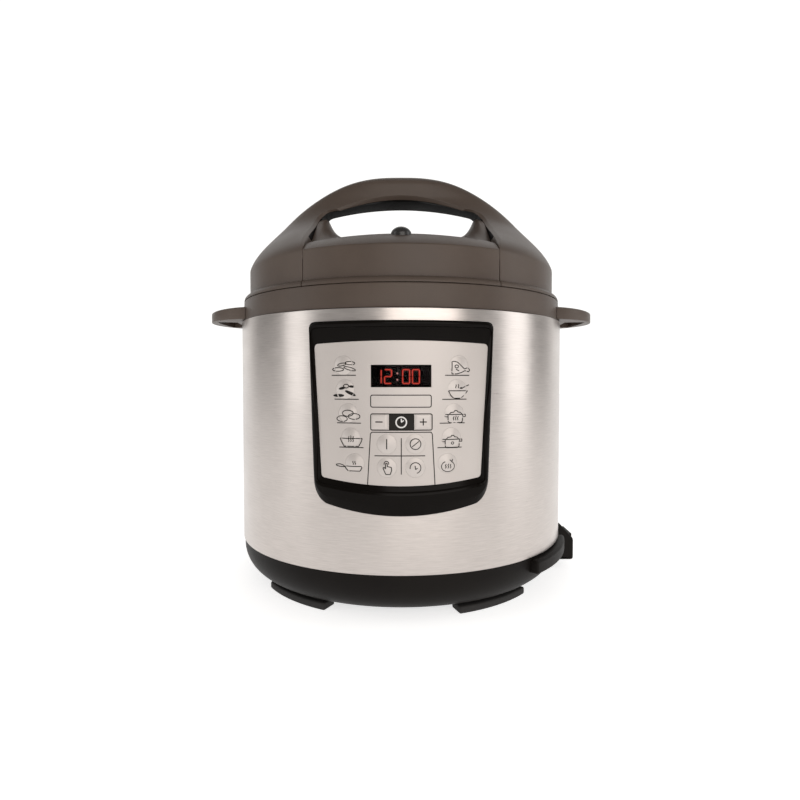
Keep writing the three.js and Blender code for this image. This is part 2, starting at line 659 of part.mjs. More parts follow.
// A slotted cage that keeps food out of the vent.
function valveShield() {
  const { inner, outer, bottom, top } = SHIELD;
  const cage = unite(pipe(inner, outer, bottom, top), disc(outer, bottom, bottom + 1.2));
  const slot = box(-12, 12, -1, 1, bottom - 1, bottom + 0.6);
  const slots = [0, 60, 120].map((turn) => slot.rotate([0, 0, turn]));
  return cut(cage, ...slots).translate([0, VALVE.y, 0]);
}

function steamValveKnob() {
  const { knob, knobBottom, knobTop, y } = VALVE;
  const profile = [
    [0, knobTop - 6], [2.6, knobTop - 6], [4.3, knobBottom + 12], [4.3, knobBottom], [knob - 2, knobBottom],
    [knob, knobBottom + 2], [knob - 1, knobTop - 6], [knob - 4, knobTop], [0, knobTop],
  ];
  const pointer = box(-2.5, 2.5, -knob - 5, -knob + 2, knobBottom + 3, knobBottom + 12);
  return unite(turnedSolid(profile, 28), pointer).translate([0, y, 0]);
}

function floatValve() {
  const { cap, pin, top, bottom, y } = FLOAT;
  return turnedSolid([
    [0, bottom], [pin, bottom], [pin, 245], [cap - 0.6, 245], [cap, 246], [cap, top - 6],
    [cap * 0.86, top - 2.6], [cap * 0.5, top - 0.6], [0, top],
  ], 24).translate([0, y, 0]);
}

const floatSeal = () => pipe(2.7, 4.2, 232.4, 235.8, 16, 0, FLOAT.y);

// ---------------------------------------------------------------- condensate cup

function condensateCup() {
  const { half, near, far, bottom, top, wall } = CUP;
  const shape = new THREE.Shape();
  shape.moveTo(-half, near);
  shape.lineTo(half, near);
  shape.lineTo(half, far - 7);
  shape.quadraticCurveTo(half, far, half - 8, far);
  shape.lineTo(-half + 8, far);
  shape.quadraticCurveTo(-half, far, -half, far - 7);
  const inside = box(-half + wall, half - wall, near + wall, far - 6, bottom + wall, top + 1);
  return cut(raised(shape, bottom, top, 5), inside);
}

// A curved plate on the shell with a lip on each side, between which the cup is pushed in.
function cupBracket() {
  const { back, face, bottom, top, lip, reach } = BRACKET;
  const inner = CUP.half + GAP + 0.1;
  const sweep = THREE.MathUtils.radToDeg(Math.asin((inner + 1) / back));
  const lips = [-inner - lip, inner].map((x) => box(x, x + lip, back - 0.7, reach, bottom, top));
  return unite(arcBlock(back, face, bottom, top, 90 - sweep, 90 + sweep), ...lips);
}

// ---------------------------------------------------------------- assembly

place('base_tray', baseTray(), BLACK_PLASTIC);
place('bottom_cover', bottomCover(), BLACK_PLASTIC);
for (let i = 0; i < 4; i += 1) place(`foot_pad_${i + 1}`, foot(i), RUBBER);
screwPlaces().forEach((spot, i) => place(`base_screw_${i + 1}`, baseScrew(spot), ALUMINIUM));
place('outer_shell', outerShell(), BRUSHED_STEEL);
place('top_collar', topCollar(), BROWN_PLASTIC);
place('side_handle_left', sideHandle(-1), BROWN_PLASTIC);
place('side_handle_right', sideHandle(1), BROWN_PLASTIC);
place('pressure_vessel', pressureVessel(), ALUMINIUM);
place('inner_pot', innerPot(), BRUSHED_STEEL);
place('heating_plate', heatingPlate(), ALUMINIUM);
place('sensor_spring', sensorSpring(), BRUSHED_STEEL);
place('temperature_sensor', temperatureSensor(), ALUMINIUM);
place('pressure_switch', pressureSwitch(), BLACK_PLASTIC);
place('power_board', powerBoard(), BOARD);
place('power_inlet', powerInlet(), BLACK_PLASTIC);
INLET_PINS.forEach((spot, i) => place(`inlet_pin_${i + 1}`, inletPin(spot), BRASS));

place('panel_bezel', panelBezel(), GLOSS_BLACK);
place('panel_fascia', panelFascia(), SILVER_PANEL);
place('display_window', displayWindow(), SMOKED_GLASS);
place('display_module', displayModule(), BLACK_PLASTIC);
place('control_board', controlBoard(), BOARD);
KEYS.forEach((key) => place(key.name, keyBody(key), SILVER_PANEL));

place('lid_handle', lidHandle(), BROWN_PLASTIC);
place('handle_underside', handleUnderside(), BLACK_PLASTIC);
place('lid_cover', lidCover(), BROWN_PLASTIC);
place('steel_lid', steelLid(), BRUSHED_STEEL);
place('centre_post', centrePost(), BRUSHED_STEEL);
place('inner_lid_plate', innerLidPlate(), ALUMINIUM);
place('sealing_ring', sealingRing(), SILICONE);
place('post_grommet', grommet(), SILICONE);
place('vent_pipe', ventPipe(), BRUSHED_STEEL);
place('valve_shield', valveShield(), BRUSHED_STEEL);
place('steam_valve_knob', steamValveKnob(), BLACK_PLASTIC);
place('float_valve', floatValve(), BLACK_PLASTIC);
place('float_seal', floatSeal(), SILICONE);
place('condensate_cup', condensateCup(), SMOKED_GLASS);
place('cup_bracket', cupBracket(), BLACK_PLASTIC);

export default cooker;
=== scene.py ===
"""The looks of an electric pressure cooker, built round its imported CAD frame.

Shapes are made in millimetres from the pot's axis at table height: X right, Y back, Z up.
The control panel's shapes are made flat, as X, height over the drum and Z, then bent round the drum.
A shape is a pair: an array of points and a list of faces.
"""

import json
import math

import bmesh
import bpy
import numpy as np
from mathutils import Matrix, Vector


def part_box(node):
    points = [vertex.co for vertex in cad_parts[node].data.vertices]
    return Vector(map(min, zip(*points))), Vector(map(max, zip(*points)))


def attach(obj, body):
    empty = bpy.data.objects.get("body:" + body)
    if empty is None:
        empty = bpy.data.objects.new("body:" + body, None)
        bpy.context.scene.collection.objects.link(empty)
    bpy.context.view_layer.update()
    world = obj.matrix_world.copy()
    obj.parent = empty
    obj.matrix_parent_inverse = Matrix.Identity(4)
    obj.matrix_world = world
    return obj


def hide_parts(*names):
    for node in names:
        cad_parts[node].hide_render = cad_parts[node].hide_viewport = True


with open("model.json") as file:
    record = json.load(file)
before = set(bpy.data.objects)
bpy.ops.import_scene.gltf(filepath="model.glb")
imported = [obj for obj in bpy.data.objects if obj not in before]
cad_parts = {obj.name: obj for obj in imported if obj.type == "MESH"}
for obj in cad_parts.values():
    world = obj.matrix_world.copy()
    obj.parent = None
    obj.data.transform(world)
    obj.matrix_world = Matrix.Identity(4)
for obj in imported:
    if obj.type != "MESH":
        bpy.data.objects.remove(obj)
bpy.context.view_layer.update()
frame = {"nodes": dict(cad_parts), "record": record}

# ---------------------------------------------------------------- dimensions, in millimetres and degrees

MM = 0.001
GAP = 0.3
ROUND = 224                 # facets round the large turned pieces
ROUND_SMALL = 72            # facets round the small ones
SHARP_FROM = 32.0           # the least angle between two faces that shows as an edge

DRUM = {"r": 132.0, "wall": 0.8, "bottom": 34.0, "top": 205.5, "hem": 2.4, "edge": 0.7}
CUTOUT = {"half": 50.0, "bottom": 84.0, "top": 186.0}
BASE = {"r": 131.0, "bottom": 5.5, "corner": 24.0, "wall": 2.5, "lip": 40.0, "hole": 60.0}
LEDGE = {"inner": 128.8, "outer": 137.0, "bottom": 22.5, "top": 32.6, "start": -45.5, "end": -12.0}
FOOT = {"inner": 104.0, "outer": 117.0, "height": 5.2, "sweep": 32.0, "middles": (-54, 47, 126, 227)}
COLLAR = {"r": 130.3, "inner": 125.0, "relief": 124.6, "bottom": 205.8, "top": 221.7}
EAR = {"centre": 110.0, "r": 50.5, "bottom": 207.0, "top": 216.4, "round": 1.2, "fall": 1.9, "recess": 4.5}

VESSEL = {"r": 117.5, "wall": 2.0, "floor": 38.0, "flange": 123.8, "rim": 205.0, "top": 217.0}
POT = {"bore": 110.0, "wall": 1.2, "floor": 53.4, "rim": 209.5, "flange": 115.0}
HEATER = {"r": 88.0, "hole": 17.0, "bottom": 40.4, "top": 52.9, "rings": (34, 52, 70)}
SENSOR = {"r": 11.0, "stem": 8.0, "bottom": 44.1, "shoulder": 47.1, "top": 53.1}
BAYONET = {"count": 8, "width": 18.0, "vessel_inner": 118.9, "lid_outer": 121.0}

FASCIA_R = 135.3
BEZEL = {"top": 197.0, "bottom": 73.0, "half_top": 60.0, "half_bottom": 56.7, "corner": 5.0, "bow": 6.5,
         "shoulder": 93.0, "height": 5.5, "back": 0.3, "rim": 1.9, "bevel": 1.5}
LIP = {"below": 100.0, "over": 16.0, "edge": 7.4, "drop": 2.0}       # the bezel's deep lower part
BAR = {"above": 188.0, "over": 8.0, "wider": 0.3}                    # the bezel's upper part
FASCIA = {"top": 184.3, "bottom": 92.5, "half_top": 56.0, "half_bottom": 51.6, "bow": 4.0, "corner": 3.0,
          "height": 3.3, "back": 1.2}
DISPLAY = {"half": 18.8, "bottom": 155.2, "top": 168.8}
KEY = {"r": 6.2, "clearance": 0.08, "crown": 1.15, "skirt": 1.4}
# The rings of a key from its skirt to its crown, as shares of its radius; the first two are its side.
KEY_RINGS = (1.0, 1.0, 0.97, 0.9, 0.8, 0.68, 0.55, 0.42, 0.3, 0.18, 0.08)

LID = {"r": 125.5, "bottom": 222.0, "bead": 130.2, "bead_top": 226.4, "shoulder": 246.0, "ridge": 331.0,
       "lean": 0.83, "bulge": 2.31, "inner": 122.5, "ceiling": 241.0}
DOME = {"half": 66.0, "r": 105.0, "edge": 258.0, "crown": 16.0, "roll": 4.1, "wall": 3.0}
RIDGE = {"height": 26.6, "top": 4.5, "fall": 10.0, "half": 74.0}
GRIP = {"half": 17.0, "flare_from": 246.0, "flare_to": 312.0, "under": 309.0, "crest": 10.0,
        "square_from": 285.0, "square_to": 310.0, "squareness": 0.8}
EDGE = {"sharp": 0.25, "more": 3.0, "from": 247.0, "to": 259.0}      # the handle's inner edges
MOUTH_START = 283.5         # where the way under the grip begins to close in
SHADE_PAINTED_FROM = 262.0         # the height above which the way under the grip is painted black, as painted shade
MOUTH_LIP = 9.0             # how deep the lip is that eases to the wall of that way
FRONT_MOUTH = {"corner": 16.0, "side": 299.5, "corner_end": 299.0}
REAR_MOUTH = {"corner": 7.0, "side": 300.0, "corner_end": 302.0}
STEEL_LID = {"r": 117.8, "wall": 1.5, "top": 238.0, "bottom": 208.5, "tooth_bottom": 209.5,
             "tooth_top": 212.0}
POST = {"r": 2.6, "bottom": 208.9, "step": 235.0, "neck": 3.0, "head": 6.0, "rise": 3.7}
PLATE = {"hole": 6.2, "bottom": 212.0, "edge": 214.2, "flat": 96.0, "slope": 90.0, "top": 217.0}
RING = {"inner": 105.0, "outer": 114.8, "bottom": 211.1, "top": 219.0}
STRIP = {"half": 13.2, "sunk": 2.6, "proud": 0.45, "reach": 64.5}
VENT = {"bore": 2.0, "r": 4.0, "flange": 6.5, "bottom": 222.0, "seat": 236.2, "top": 271.6}
VALVE = {"y": 68.0, "knob": 12.0, "bottom": 270.2, "top": 291.6}
FLOAT = {"y": -104.0, "cap": 7.1, "pin": 2.4, "bottom": 222.0, "skirt": 245.0, "groove": 251.0,
         "dome": 5.5, "top": 263.0}
CUP = {"half": 18.0, "near": 134.6, "far": 151.5, "bottom": 150.0, "top": 196.0, "wall": 1.6}
BRACKET = {"back": 132.3, "face": 134.2, "bottom": 154.0, "top": 190.0, "inner": 18.4, "lip": 2.0,
           "reach": 141.0}
SOCKET = {"back": 132.0, "half": 12.3, "bottom": 8.5, "top": 28.7}
INLET = {"near": 126.0, "far": 146.3, "bottom": 7.0, "shoulder": 25.0, "top": 38.0, "top_r": 134.4,
         "half": 17.0, "y": 2.0}

low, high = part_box("outer_shell")
AXIS_Y = (low.y + high.y) / 2
BODY_OF = {node: body for body, nodes in frame["record"]["behaviour"]["bodies"].items() for node in nodes}
SLOT_OF = {row["node"]: row["material_slot"] for row in frame["record"]["subparts"]}

# ---------------------------------------------------------------- outlines and profiles


def sizes(table, names):
    """The named sizes of a part, in the order of the names."""
    return [table[name] for name in names.split()]


def smoothstep(t):
    t = np.clip(t, 0, 1)
    return t * t * (3 - 2 * t)


def unit(vector):
    return vector / np.maximum(np.linalg.norm(vector, axis=-1, keepdims=True), 1e-12)


def fillet(corners, radius, steps=4, closed=True):
    """Rounds the corners of an outline by one radius, or by one for each."""
    corners = np.asarray(corners, float)
    radii = np.broadcast_to(radius, len(corners))
    last = len(corners) - 1
    rounded = []
    for i, (corner, r) in enumerate(zip(corners, radii)):
        if r == 0 or (not closed and i in (0, last)):
            rounded.append(corner)
            continue
        before, after = corners[i - 1] - corner, corners[(i + 1) % (last + 1)] - corner
        cosine = np.dot(unit(before), unit(after))
        half = 0.5 * math.acos(np.clip(cosine, -0.9999, 0.9999))
        reach = min(r / math.tan(half), 0.45 * np.linalg.norm(before), 0.45 * np.linalg.norm(after))
        start, end = corner + unit(before) * reach, corner + unit(after) * reach
        for t in np.linspace(0, 1, steps + 1):
            rounded.append((1 - t) ** 2 * start + 2 * t * (1 - t) * corner + t * t * end)
    return np.array(rounded)


def bezier(start, ctrl, end, steps, until=1.0):
    t = np.linspace(0, until, steps + 1)[:, None]
    start, ctrl, end = (np.asarray(p, float) for p in (start, ctrl, end))
    return (1 - t) ** 2 * start + 2 * t * (1 - t) * ctrl + t * t * end


def line(start, end, steps):
    return np.linspace(np.asarray(start, float), np.asarray(end, float), steps + 1)


def arc(centre, radius, start, end, steps):
    """Points on a circle; the angles are in degrees, anticlockwise from the first axis."""
    angles = np.radians(np.linspace(start, end, steps + 1))
    return np.stack([centre[0] + radius * np.cos(angles), centre[1] + radius * np.sin(angles)], 1)


def join(*paths):
    """One path from several, without the points that two neighbours share."""
    whole = [np.asarray(paths[0], float)]
    for path in paths[1:]:
        path = np.asarray(path, float)
        repeated = np.allclose(whole[-1][-1], path[0], atol=1e-6)
        whole.append(path[1:] if repeated else path)
    return np.concatenate(whole)


def resample(path, count):
    """The same path in equal steps."""
    along = np.concatenate([[0], np.cumsum(np.linalg.norm(np.diff(path, axis=0), axis=1))])
    wanted = np.linspace(0, along[-1], count)
    return np.stack([np.interp(wanted, along, column) for column in path.T], 1)


def inset(outline, distance):
    """A closed outline moved inwards, by one distance or by one for each point."""
    area = np.sum(outline[:, 0] * np.roll(outline[:, 1], -1) - np.roll(outline[:, 0], -1) * outline[:, 1])
    edges = unit(np.roll(outline, -1, 0) - outline)
    normals = np.stack([-edges[:, 1], edges[:, 0]], 1) * np.sign(area)
    sums = normals + np.roll(normals, 1, 0)
    mitre = 2 * sums / np.maximum(np.sum(sums * sums, 1), 0.6)[:, None]
    return outline + mitre * np.broadcast_to(distance, len(outline))[:, None]


# ---------------------------------------------------------------- shapes


def tube(loops, ring=False):
    """Quads between closed loops of equal length, with both ends capped, or joined as a ring."""
    loops = np.asarray(loops, float)
    count, size = loops.shape[:2]
    near = np.arange(size)
    far = np.roll(near, -1)
    faces = []
    for i in range(count if ring else count - 1):
        a, b = i * size, (i + 1) % count * size
        faces += np.stack([a + near, a + far, b + far, b + near], 1).tolist()
    if not ring:
        faces += [list(range(size)), list(range(count * size - 1, (count - 1) * size - 1, -1))]
    return loops.reshape(-1, 3), faces


def turned(profile, segments=ROUND, x=0.0, y=0.0):
    """A closed profile of radius and height turned about a vertical axis."""
    profile = np.asarray(profile, float)
    angles = np.linspace(0, 2 * np.pi, segments, endpoint=False)[:, None]
    loops = np.stack([
        x + profile[:, 0] * np.cos(angles), y + profile[:, 0] * np.sin(angles),
        np.broadcast_to(profile[:, 1], (segments, len(profile))),
    ], 2)
    return tube(loops, ring=True)


def rod(r, bottom, top, x=0.0, y=0.0, segments=ROUND_SMALL):
    """An upright cylinder."""
    return turned([(0, bottom), (r, bottom), (r, top), (0, top)], segments, x, y)


def merged(*shapes):
    """Several shapes as one."""
    points, faces, offset = [], [], 0
    for some_points, some_faces in shapes:
        points.append(some_points)
        faces += [[offset + corner for corner in face] for face in some_faces]
        offset += len(some_points)
    return np.concatenate(points), faces


def both_sides(right):
    """Loops from right to left, made from the right side's, which end on the middle plane."""
    return right + [loop * (-1, 1, 1) for loop in right[:-1]][::-1]


def spun(shape, degrees):
    """A shape turned about the pot's axis."""
    c, s = math.cos(math.radians(degrees)), math.sin(math.radians(degrees))
    return shape[0] @ np.array([[c, s, 0], [-s, c, 0], [0, 0, 1]]), shape[1]


def lying(outline, z):
    """An outline of X and Y, laid at a height."""
    return np.column_stack([outline, np.full(len(outline), z)])


def standing(outline, y):
    """An outline of X and Z, stood at a depth."""
    return np.column_stack([outline[:, 0], np.full(len(outline), y), outline[:, 1]])


def eased(length, rounding):
    """Stations from 0 to length, and at each how far its section is drawn in to round both ends."""
    turns = np.linspace(0, np.pi / 2, 5)
    ends, draw = rounding * (1 - np.cos(turns)), rounding * (1 - np.sin(turns))
    return np.concatenate([ends, length - ends[::-1]]), np.concatenate([draw, draw[::-1]])


def arc_bar(section, start, end, rounding, steps=24):
    """A section of radius and height carried round the pot's axis between two angles, with rounded ends."""
    section = np.asarray(section, float)
    radius = section[:, 0].mean()
    length = math.radians(end - start) * radius
    stations, draw = eased(length, rounding)
    half = len(stations) // 2
    middle = np.linspace(stations[half - 1], stations[half], steps + 1)[1:-1]
    stations = np.concatenate([stations[:half], middle, stations[half:]])
    draw = np.concatenate([draw[:half], np.zeros(len(middle)), draw[half:]])
    loops = []
    for station, distance in zip(stations, draw):
        ring = inset(section, distance)
        angle = math.radians(start) + station / radius
        loops.append(np.stack([ring[:, 0] * math.cos(angle), ring[:, 0] * math.sin(angle), ring[:, 1]], 1))
    return tube(loops)


def block(section, start, end, rounding):
    """A section in X and Z carried along Y, with rounded ends."""
    section = np.asarray(section, float)
    stations, draw = eased(end - start, rounding)
    return tube([standing(inset(section, distance), start + station)
                 for station, distance in zip(stations, draw)])


def box(x0, x1, y0, y1, z0, z1, rounding=0.0):
    section = [(x0, z0), (x1, z0), (x1, z1), (x0, z1)]
    if rounding == 0:
        loops = [[(x, y, z) for x, z in section] for y in (y0, y1)]
        return tube(loops)
    return block(fillet(section, rounding * 1.2), y0, y1, rounding)


def pillow(outline, levels, mask):
    """An outline in X and Y stacked through levels of (inset, height); a mask scales the inset by point."""
    return tube([lying(inset(outline, distance * mask), height) for distance, height in levels])


def mesh_of(shape):
    """A closed mesh with its doubled points merged and all its faces turned outwards."""
    mesh = bpy.data.meshes.new("shape")
    mesh.from_pydata(shape[0].tolist(), [], shape[1])
    work = bmesh.new()
    work.from_mesh(mesh)
    bmesh.ops.remove_doubles(work, verts=work.verts, dist=1e-4)
    bmesh.ops.dissolve_degenerate(work, edges=work.edges, dist=1e-5)
    bmesh.ops.recalc_face_normals(work, faces=work.faces)
    work.to_mesh(mesh)
    work.free()
    return mesh


def boolean(base, other, operation="DIFFERENCE"):
    """Joins two shapes, cuts one from the other or keeps what they share."""
    objects = []
    for shape in (base, other):
        thing = bpy.data.objects.new("working", mesh_of(shape))
        bpy.context.scene.collection.objects.link(thing)
        objects.append(thing)
    modifier = objects[0].modifiers.new("boolean", "BOOLEAN")
    modifier.operation = operation
    modifier.solver = "MANIFOLD"
    modifier.object = objects[1]
    result = objects[0].evaluated_get(bpy.context.evaluated_depsgraph_get()).to_mesh()
    points = np.empty(len(result.vertices) * 3)
    result.vertices.foreach_get("co", points)
    faces = [list(polygon.vertices) for polygon in result.polygons]
    for thing in objects:
        mesh = thing.data
        bpy.data.objects.remove(thing)
        bpy.data.meshes.remove(mesh)
    return points.reshape(-1, 3), faces


def stand_in(node, *parts, painted=None):
    """Makes one piece from pairs of shape and material, in the place and on the body of a CAD node.

    A painted piece also has a second material, on the faces that pass a test of their centre and normal.
    """
    mesh = bpy.data.meshes.new(node + "_look")
    work = bmesh.new()
    for index, (shape, material) in enumerate(parts):
        part = mesh_of(shape)
        part.polygons.foreach_set("material_index", np.full(len(part.polygons), index, dtype=np.int32))
        work.from_mesh(part)
        bpy.data.meshes.remove(part)
        mesh.materials.append(material)
    work.to_mesh(mesh)
    work.free()
    if painted:
        material, test = painted
        mesh.materials.append(material)
        for polygon in mesh.polygons:
            if test(polygon.center, polygon.normal):
                polygon.material_index = len(parts)
    place = np.empty(len(mesh.vertices) * 3)
    mesh.vertices.foreach_get("co", place)
    place = place.reshape(-1, 3) * MM + (0, AXIS_Y, 0)
    mesh.vertices.foreach_set("co", place.ravel())
    mesh.shade_smooth()
    mesh.set_sharp_from_angle(angle=math.radians(SHARP_FROM))
    mesh.update()
    piece = bpy.data.objects.new(node + "_look", mesh)
    bpy.context.scene.collection.objects.link(piece)
    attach(piece, BODY_OF[node])
    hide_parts(node)
    return piece


# ---------------------------------------------------------------- materials


class Finish:
    """A procedural material in the making: a principled shader and the noises that drive it."""

    def __init__(self, name, roughness=0.5, metallic=0.0, **constants):
        self.material = bpy.data.materials.new(name)
        self.material.use_nodes = True
        self.tree = self.material.node_tree
        self.shader = self.tree.nodes["Principled BSDF"]
        self.place = self.add("ShaderNodeTexCoord").outputs["Object"]
        self.set("Roughness", roughness)
        self.set("Metallic", metallic)
        for socket, value in constants.items():
            self.set(socket.replace("_", " "), value)

    def add(self, kind, **settings):
        node = self.tree.nodes.new(kind)
        for key, value in settings.items():
            setattr(node, key, value)
        return node

    def link(self, output, socket):
        self.tree.links.new(output, socket)

    def set(self, socket, value):
        self.shader.inputs[socket].default_value = value

    def maths(self, operation, *values):
        node = self.add("ShaderNodeMath", operation=operation)
        for socket, value in zip(node.inputs, values):
            if isinstance(value, (int, float)):
                socket.default_value = value
            else:
                self.link(value, socket)
        return node.outputs[0]

    def mean(self, first, second):
        return self.maths("MULTIPLY", self.maths("ADD", first, second), 0.5)

    def stretched(self, x, y, z):
        """The object's coordinates, scaled along each axis."""
        node = self.add("ShaderNodeMapping")
        node.inputs["Scale"].default_value = (x, y, z)
        self.link(self.place, node.inputs["Vector"])
        return node.outputs["Vector"]

    def round_axis(self, along, across, outwards=0.0):
        """Coordinates round the pot's axis: the way along the curve, the radius, and the height."""
        parts = self.add("ShaderNodeSeparateXYZ")
        self.link(self.place, parts.inputs[0])
        x, y, z = parts.outputs
        y = self.maths("SUBTRACT", y, AXIS_Y)
        angle = self.maths("ARCTAN2", y, x)
        squares = self.maths("ADD", self.maths("MULTIPLY", x, x), self.maths("MULTIPLY", y, y))
        radius = self.maths("SQRT", squares)
        joined = self.add("ShaderNodeCombineXYZ")
        for socket, value, scale in zip(joined.inputs, (angle, radius, z), (along, outwards, across)):
            self.link(self.maths("MULTIPLY", value, scale), socket)
        return joined.outputs[0]

    def noise(self, vector, scale=1.0, detail=3.0, roughness=0.55):
        node = self.add("ShaderNodeTexNoise")
        node.inputs["Scale"].default_value = scale
        node.inputs["Detail"].default_value = detail
        node.inputs["Roughness"].default_value = roughness
        self.link(vector if vector is not None else self.place, node.inputs["Vector"])
        return node.outputs["Fac"]

    def ramp(self, value, stops):
        """Colours or greys by value; each stop is a place and a colour."""
        node = self.add("ShaderNodeValToRGB")
        colours = node.color_ramp
        while len(colours.elements) < len(stops):
            colours.elements.new(0.5)
        for element, (position, colour) in zip(colours.elements, stops):
            element.position = position
            element.color = (*colour, 1) if len(colour) == 3 else (*colour * 3, 1)
        self.link(value, node.inputs["Fac"])
        return node.outputs["Color"]

    def colour(self, value, dark, light, low=0.35, high=0.65):
        self.link(self.ramp(value, [(low, dark), (high, light)]), self.shader.inputs["Base Color"])
        return self

    def roughen(self, value, least, most):
        self.link(self.ramp(value, [(0.3, (least,)), (0.7, (most,))]), self.shader.inputs["Roughness"])
        return self

    def bump(self, value, depth, strength=1.0):
        """Relief by a value from 0 to 1; the depth is in metres."""
        node = self.add("ShaderNodeBump")
        node.inputs["Strength"].default_value = strength
        node.inputs["Distance"].default_value = depth
        self.link(value, node.inputs["Height"])
        self.link(node.outputs["Normal"], self.shader.inputs["Normal"])
        return self


def moulded(name, dark, light, roughness, grain=2600.0, depth=4e-5, spread=0.1, **constants):
    """Moulded plastic: a fine eroded grain, with broad faint changes of tone and gloss."""
    finish = Finish(name, **constants)
    broad = finish.noise(None, scale=22.0, detail=4.0)
    fine = finish.noise(None, scale=grain, detail=2.0)
    finish.colour(broad, dark, light)
    finish.roughen(finish.mean(broad, fine), roughness - spread, roughness + spread)
    return finish.bump(fine, depth).material


def brushed(name, dark, light, along, across, least, most, **constants):
    """Metal with fine lines round the pot's axis."""
    finish = Finish(name, metallic=1.0, **constants)
    lines = finish.noise(finish.round_axis(along, across), detail=4.0, roughness=0.7)
    broad = finish.noise(finish.round_axis(along * 0.35, across * 0.05), detail=3.0)
    finish.colour(lines, dark, light, 0.25, 0.75)
    finish.roughen(finish.mean(lines, broad), least, most)
    return finish.bump(lines, 6e-6).material


def spun_metal(name, dark, light, least, most):
    """Metal turned on a lathe: rings round the pot's axis, on flat faces and walls alike."""
    finish = Finish(name, metallic=1.0)
    rings = finish.noise(finish.round_axis(2.0, 2600.0, 2600.0), detail=3.0, roughness=0.6)
    broad = finish.noise(None, scale=30.0, detail=4.0)
    finish.colour(broad, dark, light)
    finish.roughen(rings, least, most)
    return finish.bump(rings, 5e-6).material


def satin_film(name, dark, light, metallic, roughness):
    """Silver painted film: a fine sparkle under a satin coat."""
    finish = Finish(name, metallic=metallic, Coat_Weight=0.25, Coat_Roughness=0.35)
    sparkle = finish.noise(None, scale=5200.0, detail=2.0)
    broad = finish.noise(None, scale=18.0, detail=3.0)
    finish.colour(finish.mean(sparkle, broad), dark, light)
    finish.roughen(sparkle, roughness - 0.06, roughness + 0.06)
    return finish.bump(sparkle, 6e-6).material


def glowing(name, colour, strength):
    finish = Finish(name, roughness=0.4, Emission_Strength=strength)
    grain = finish.noise(None, scale=1800.0, detail=2.0)
    bright = tuple(min(1.0, part * 1.15) for part in colour)
    glow = finish.ramp(grain, [(0.3, colour), (0.7, bright)])
    finish.link(glow, finish.shader.inputs["Emission Color"])
    finish.colour(grain, tuple(0.3 * part for part in colour), tuple(0.4 * part for part in colour))
    return finish.material


def clear(name, tint, roughness, transmission, index=1.5):
    """Clear or smoked plastic, with faint flow lines in it."""
    finish = Finish(name, roughness=roughness, Transmission_Weight=transmission, IOR=index)
    flow = finish.noise(finish.stretched(20.0, 20.0, 90.0), scale=1.0, detail=3.0)
    finish.colour(flow, tuple(0.94 * part for part in tint), tint)
    finish.roughen(flow, roughness, roughness + 0.04)
    return finish.bump(flow, 2e-5, 0.4).material


BROWN = moulded("warm_brown_moulding", (0.066, 0.048, 0.0375), (0.079, 0.058, 0.0455), 0.45,
                Specular_IOR_Level=0.3)
NEAR_BLACK = moulded("near_black_moulding", (0.0055, 0.0042, 0.0036), (0.008, 0.0065, 0.0055), 0.5,
                     Specular_IOR_Level=0.1)
# Near-black for the grip's underside strip and the hollow under the grip: painted shade for the shadow under
# the grip.
UNDER_GRIP_SHADE_BLACK = moulded("under_grip_painted_shade", (0.005, 0.0045, 0.004), (0.007, 0.0065, 0.006), 0.62, depth=6e-5,
                     Specular_IOR_Level=0.05)
GLOSS = moulded("gloss_black_moulding", (0.0035, 0.0026, 0.002), (0.0045, 0.0035, 0.0028), 0.17,
                grain=900.0, depth=3e-6, spread=0.04, Specular_IOR_Level=0.07)
VALVE_BLACK = moulded("valve_black_moulding", (0.012, 0.011, 0.010), (0.017, 0.015, 0.014), 0.30,
                      depth=1e-5)
RUBBER = moulded("foot_rubber", (0.012, 0.011, 0.0105), (0.019, 0.017, 0.016), 0.82, grain=1500.0,
                 depth=1e-4)
SILICONE = moulded("milky_silicone", (0.66, 0.66, 0.63), (0.74, 0.74, 0.71), 0.48, grain=1200.0,
                   depth=2e-5, Subsurface_Weight=0.15, Subsurface_Scale=0.004)
BOARD = moulded("solder_mask", (0.012, 0.085, 0.035), (0.02, 0.12, 0.05), 0.38, grain=500.0, depth=3e-5)
STEEL = brushed("brushed_steel_cladding", (0.47, 0.430, 0.405), (0.62, 0.572, 0.541), 9.0, 1500.0,
                0.26, 0.38, Anisotropic=0.55, Anisotropic_Rotation=0.25)
POT_STEEL = spun_metal("turned_steel", (0.58, 0.57, 0.55), (0.64, 0.63, 0.61), 0.20, 0.32)
ALUMINIUM = spun_metal("satin_aluminium", (0.58, 0.585, 0.59), (0.65, 0.655, 0.66), 0.34, 0.46)
FITTING = moulded("bright_fitting", (0.58, 0.58, 0.57), (0.66, 0.66, 0.65), 0.24, grain=1600.0, depth=4e-6,
                  metallic=1.0)
BRASS = moulded("plated_brass", (0.62, 0.44, 0.17), (0.72, 0.54, 0.24), 0.3, grain=1600.0, depth=4e-6,
                metallic=1.0)
SILVER = satin_film("silver_film", (0.48, 0.438, 0.412), (0.54, 0.497, 0.468), 0.30, 0.42)
KEY_SILVER = satin_film("silver_key_film", (0.50, 0.458, 0.431), (0.56, 0.516, 0.486), 0.30, 0.40)
INK = moulded("panel_ink", (0.010, 0.0085, 0.0075), (0.015, 0.013, 0.011), 0.5, grain=3000.0, depth=2e-6,
              Specular_IOR_Level=0.15)
PALE_INK = moulded("pale_panel_ink", (0.62, 0.60, 0.58), (0.70, 0.68, 0.66), 0.5, grain=3000.0, depth=2e-6)
SMOKED = clear("smoked_window", (0.20, 0.13, 0.13), 0.03, 1.0, 1.12)
CLEAR = clear("clear_moulding", (0.80, 0.83, 0.85), 0.06, 1.0)
RED_GLOW = glowing("red_digits", (0.85, 0.12, 0.08), 2.6)
PALE_GLOW = glowing("pale_dots", (0.80, 0.62, 0.60), 3.0)

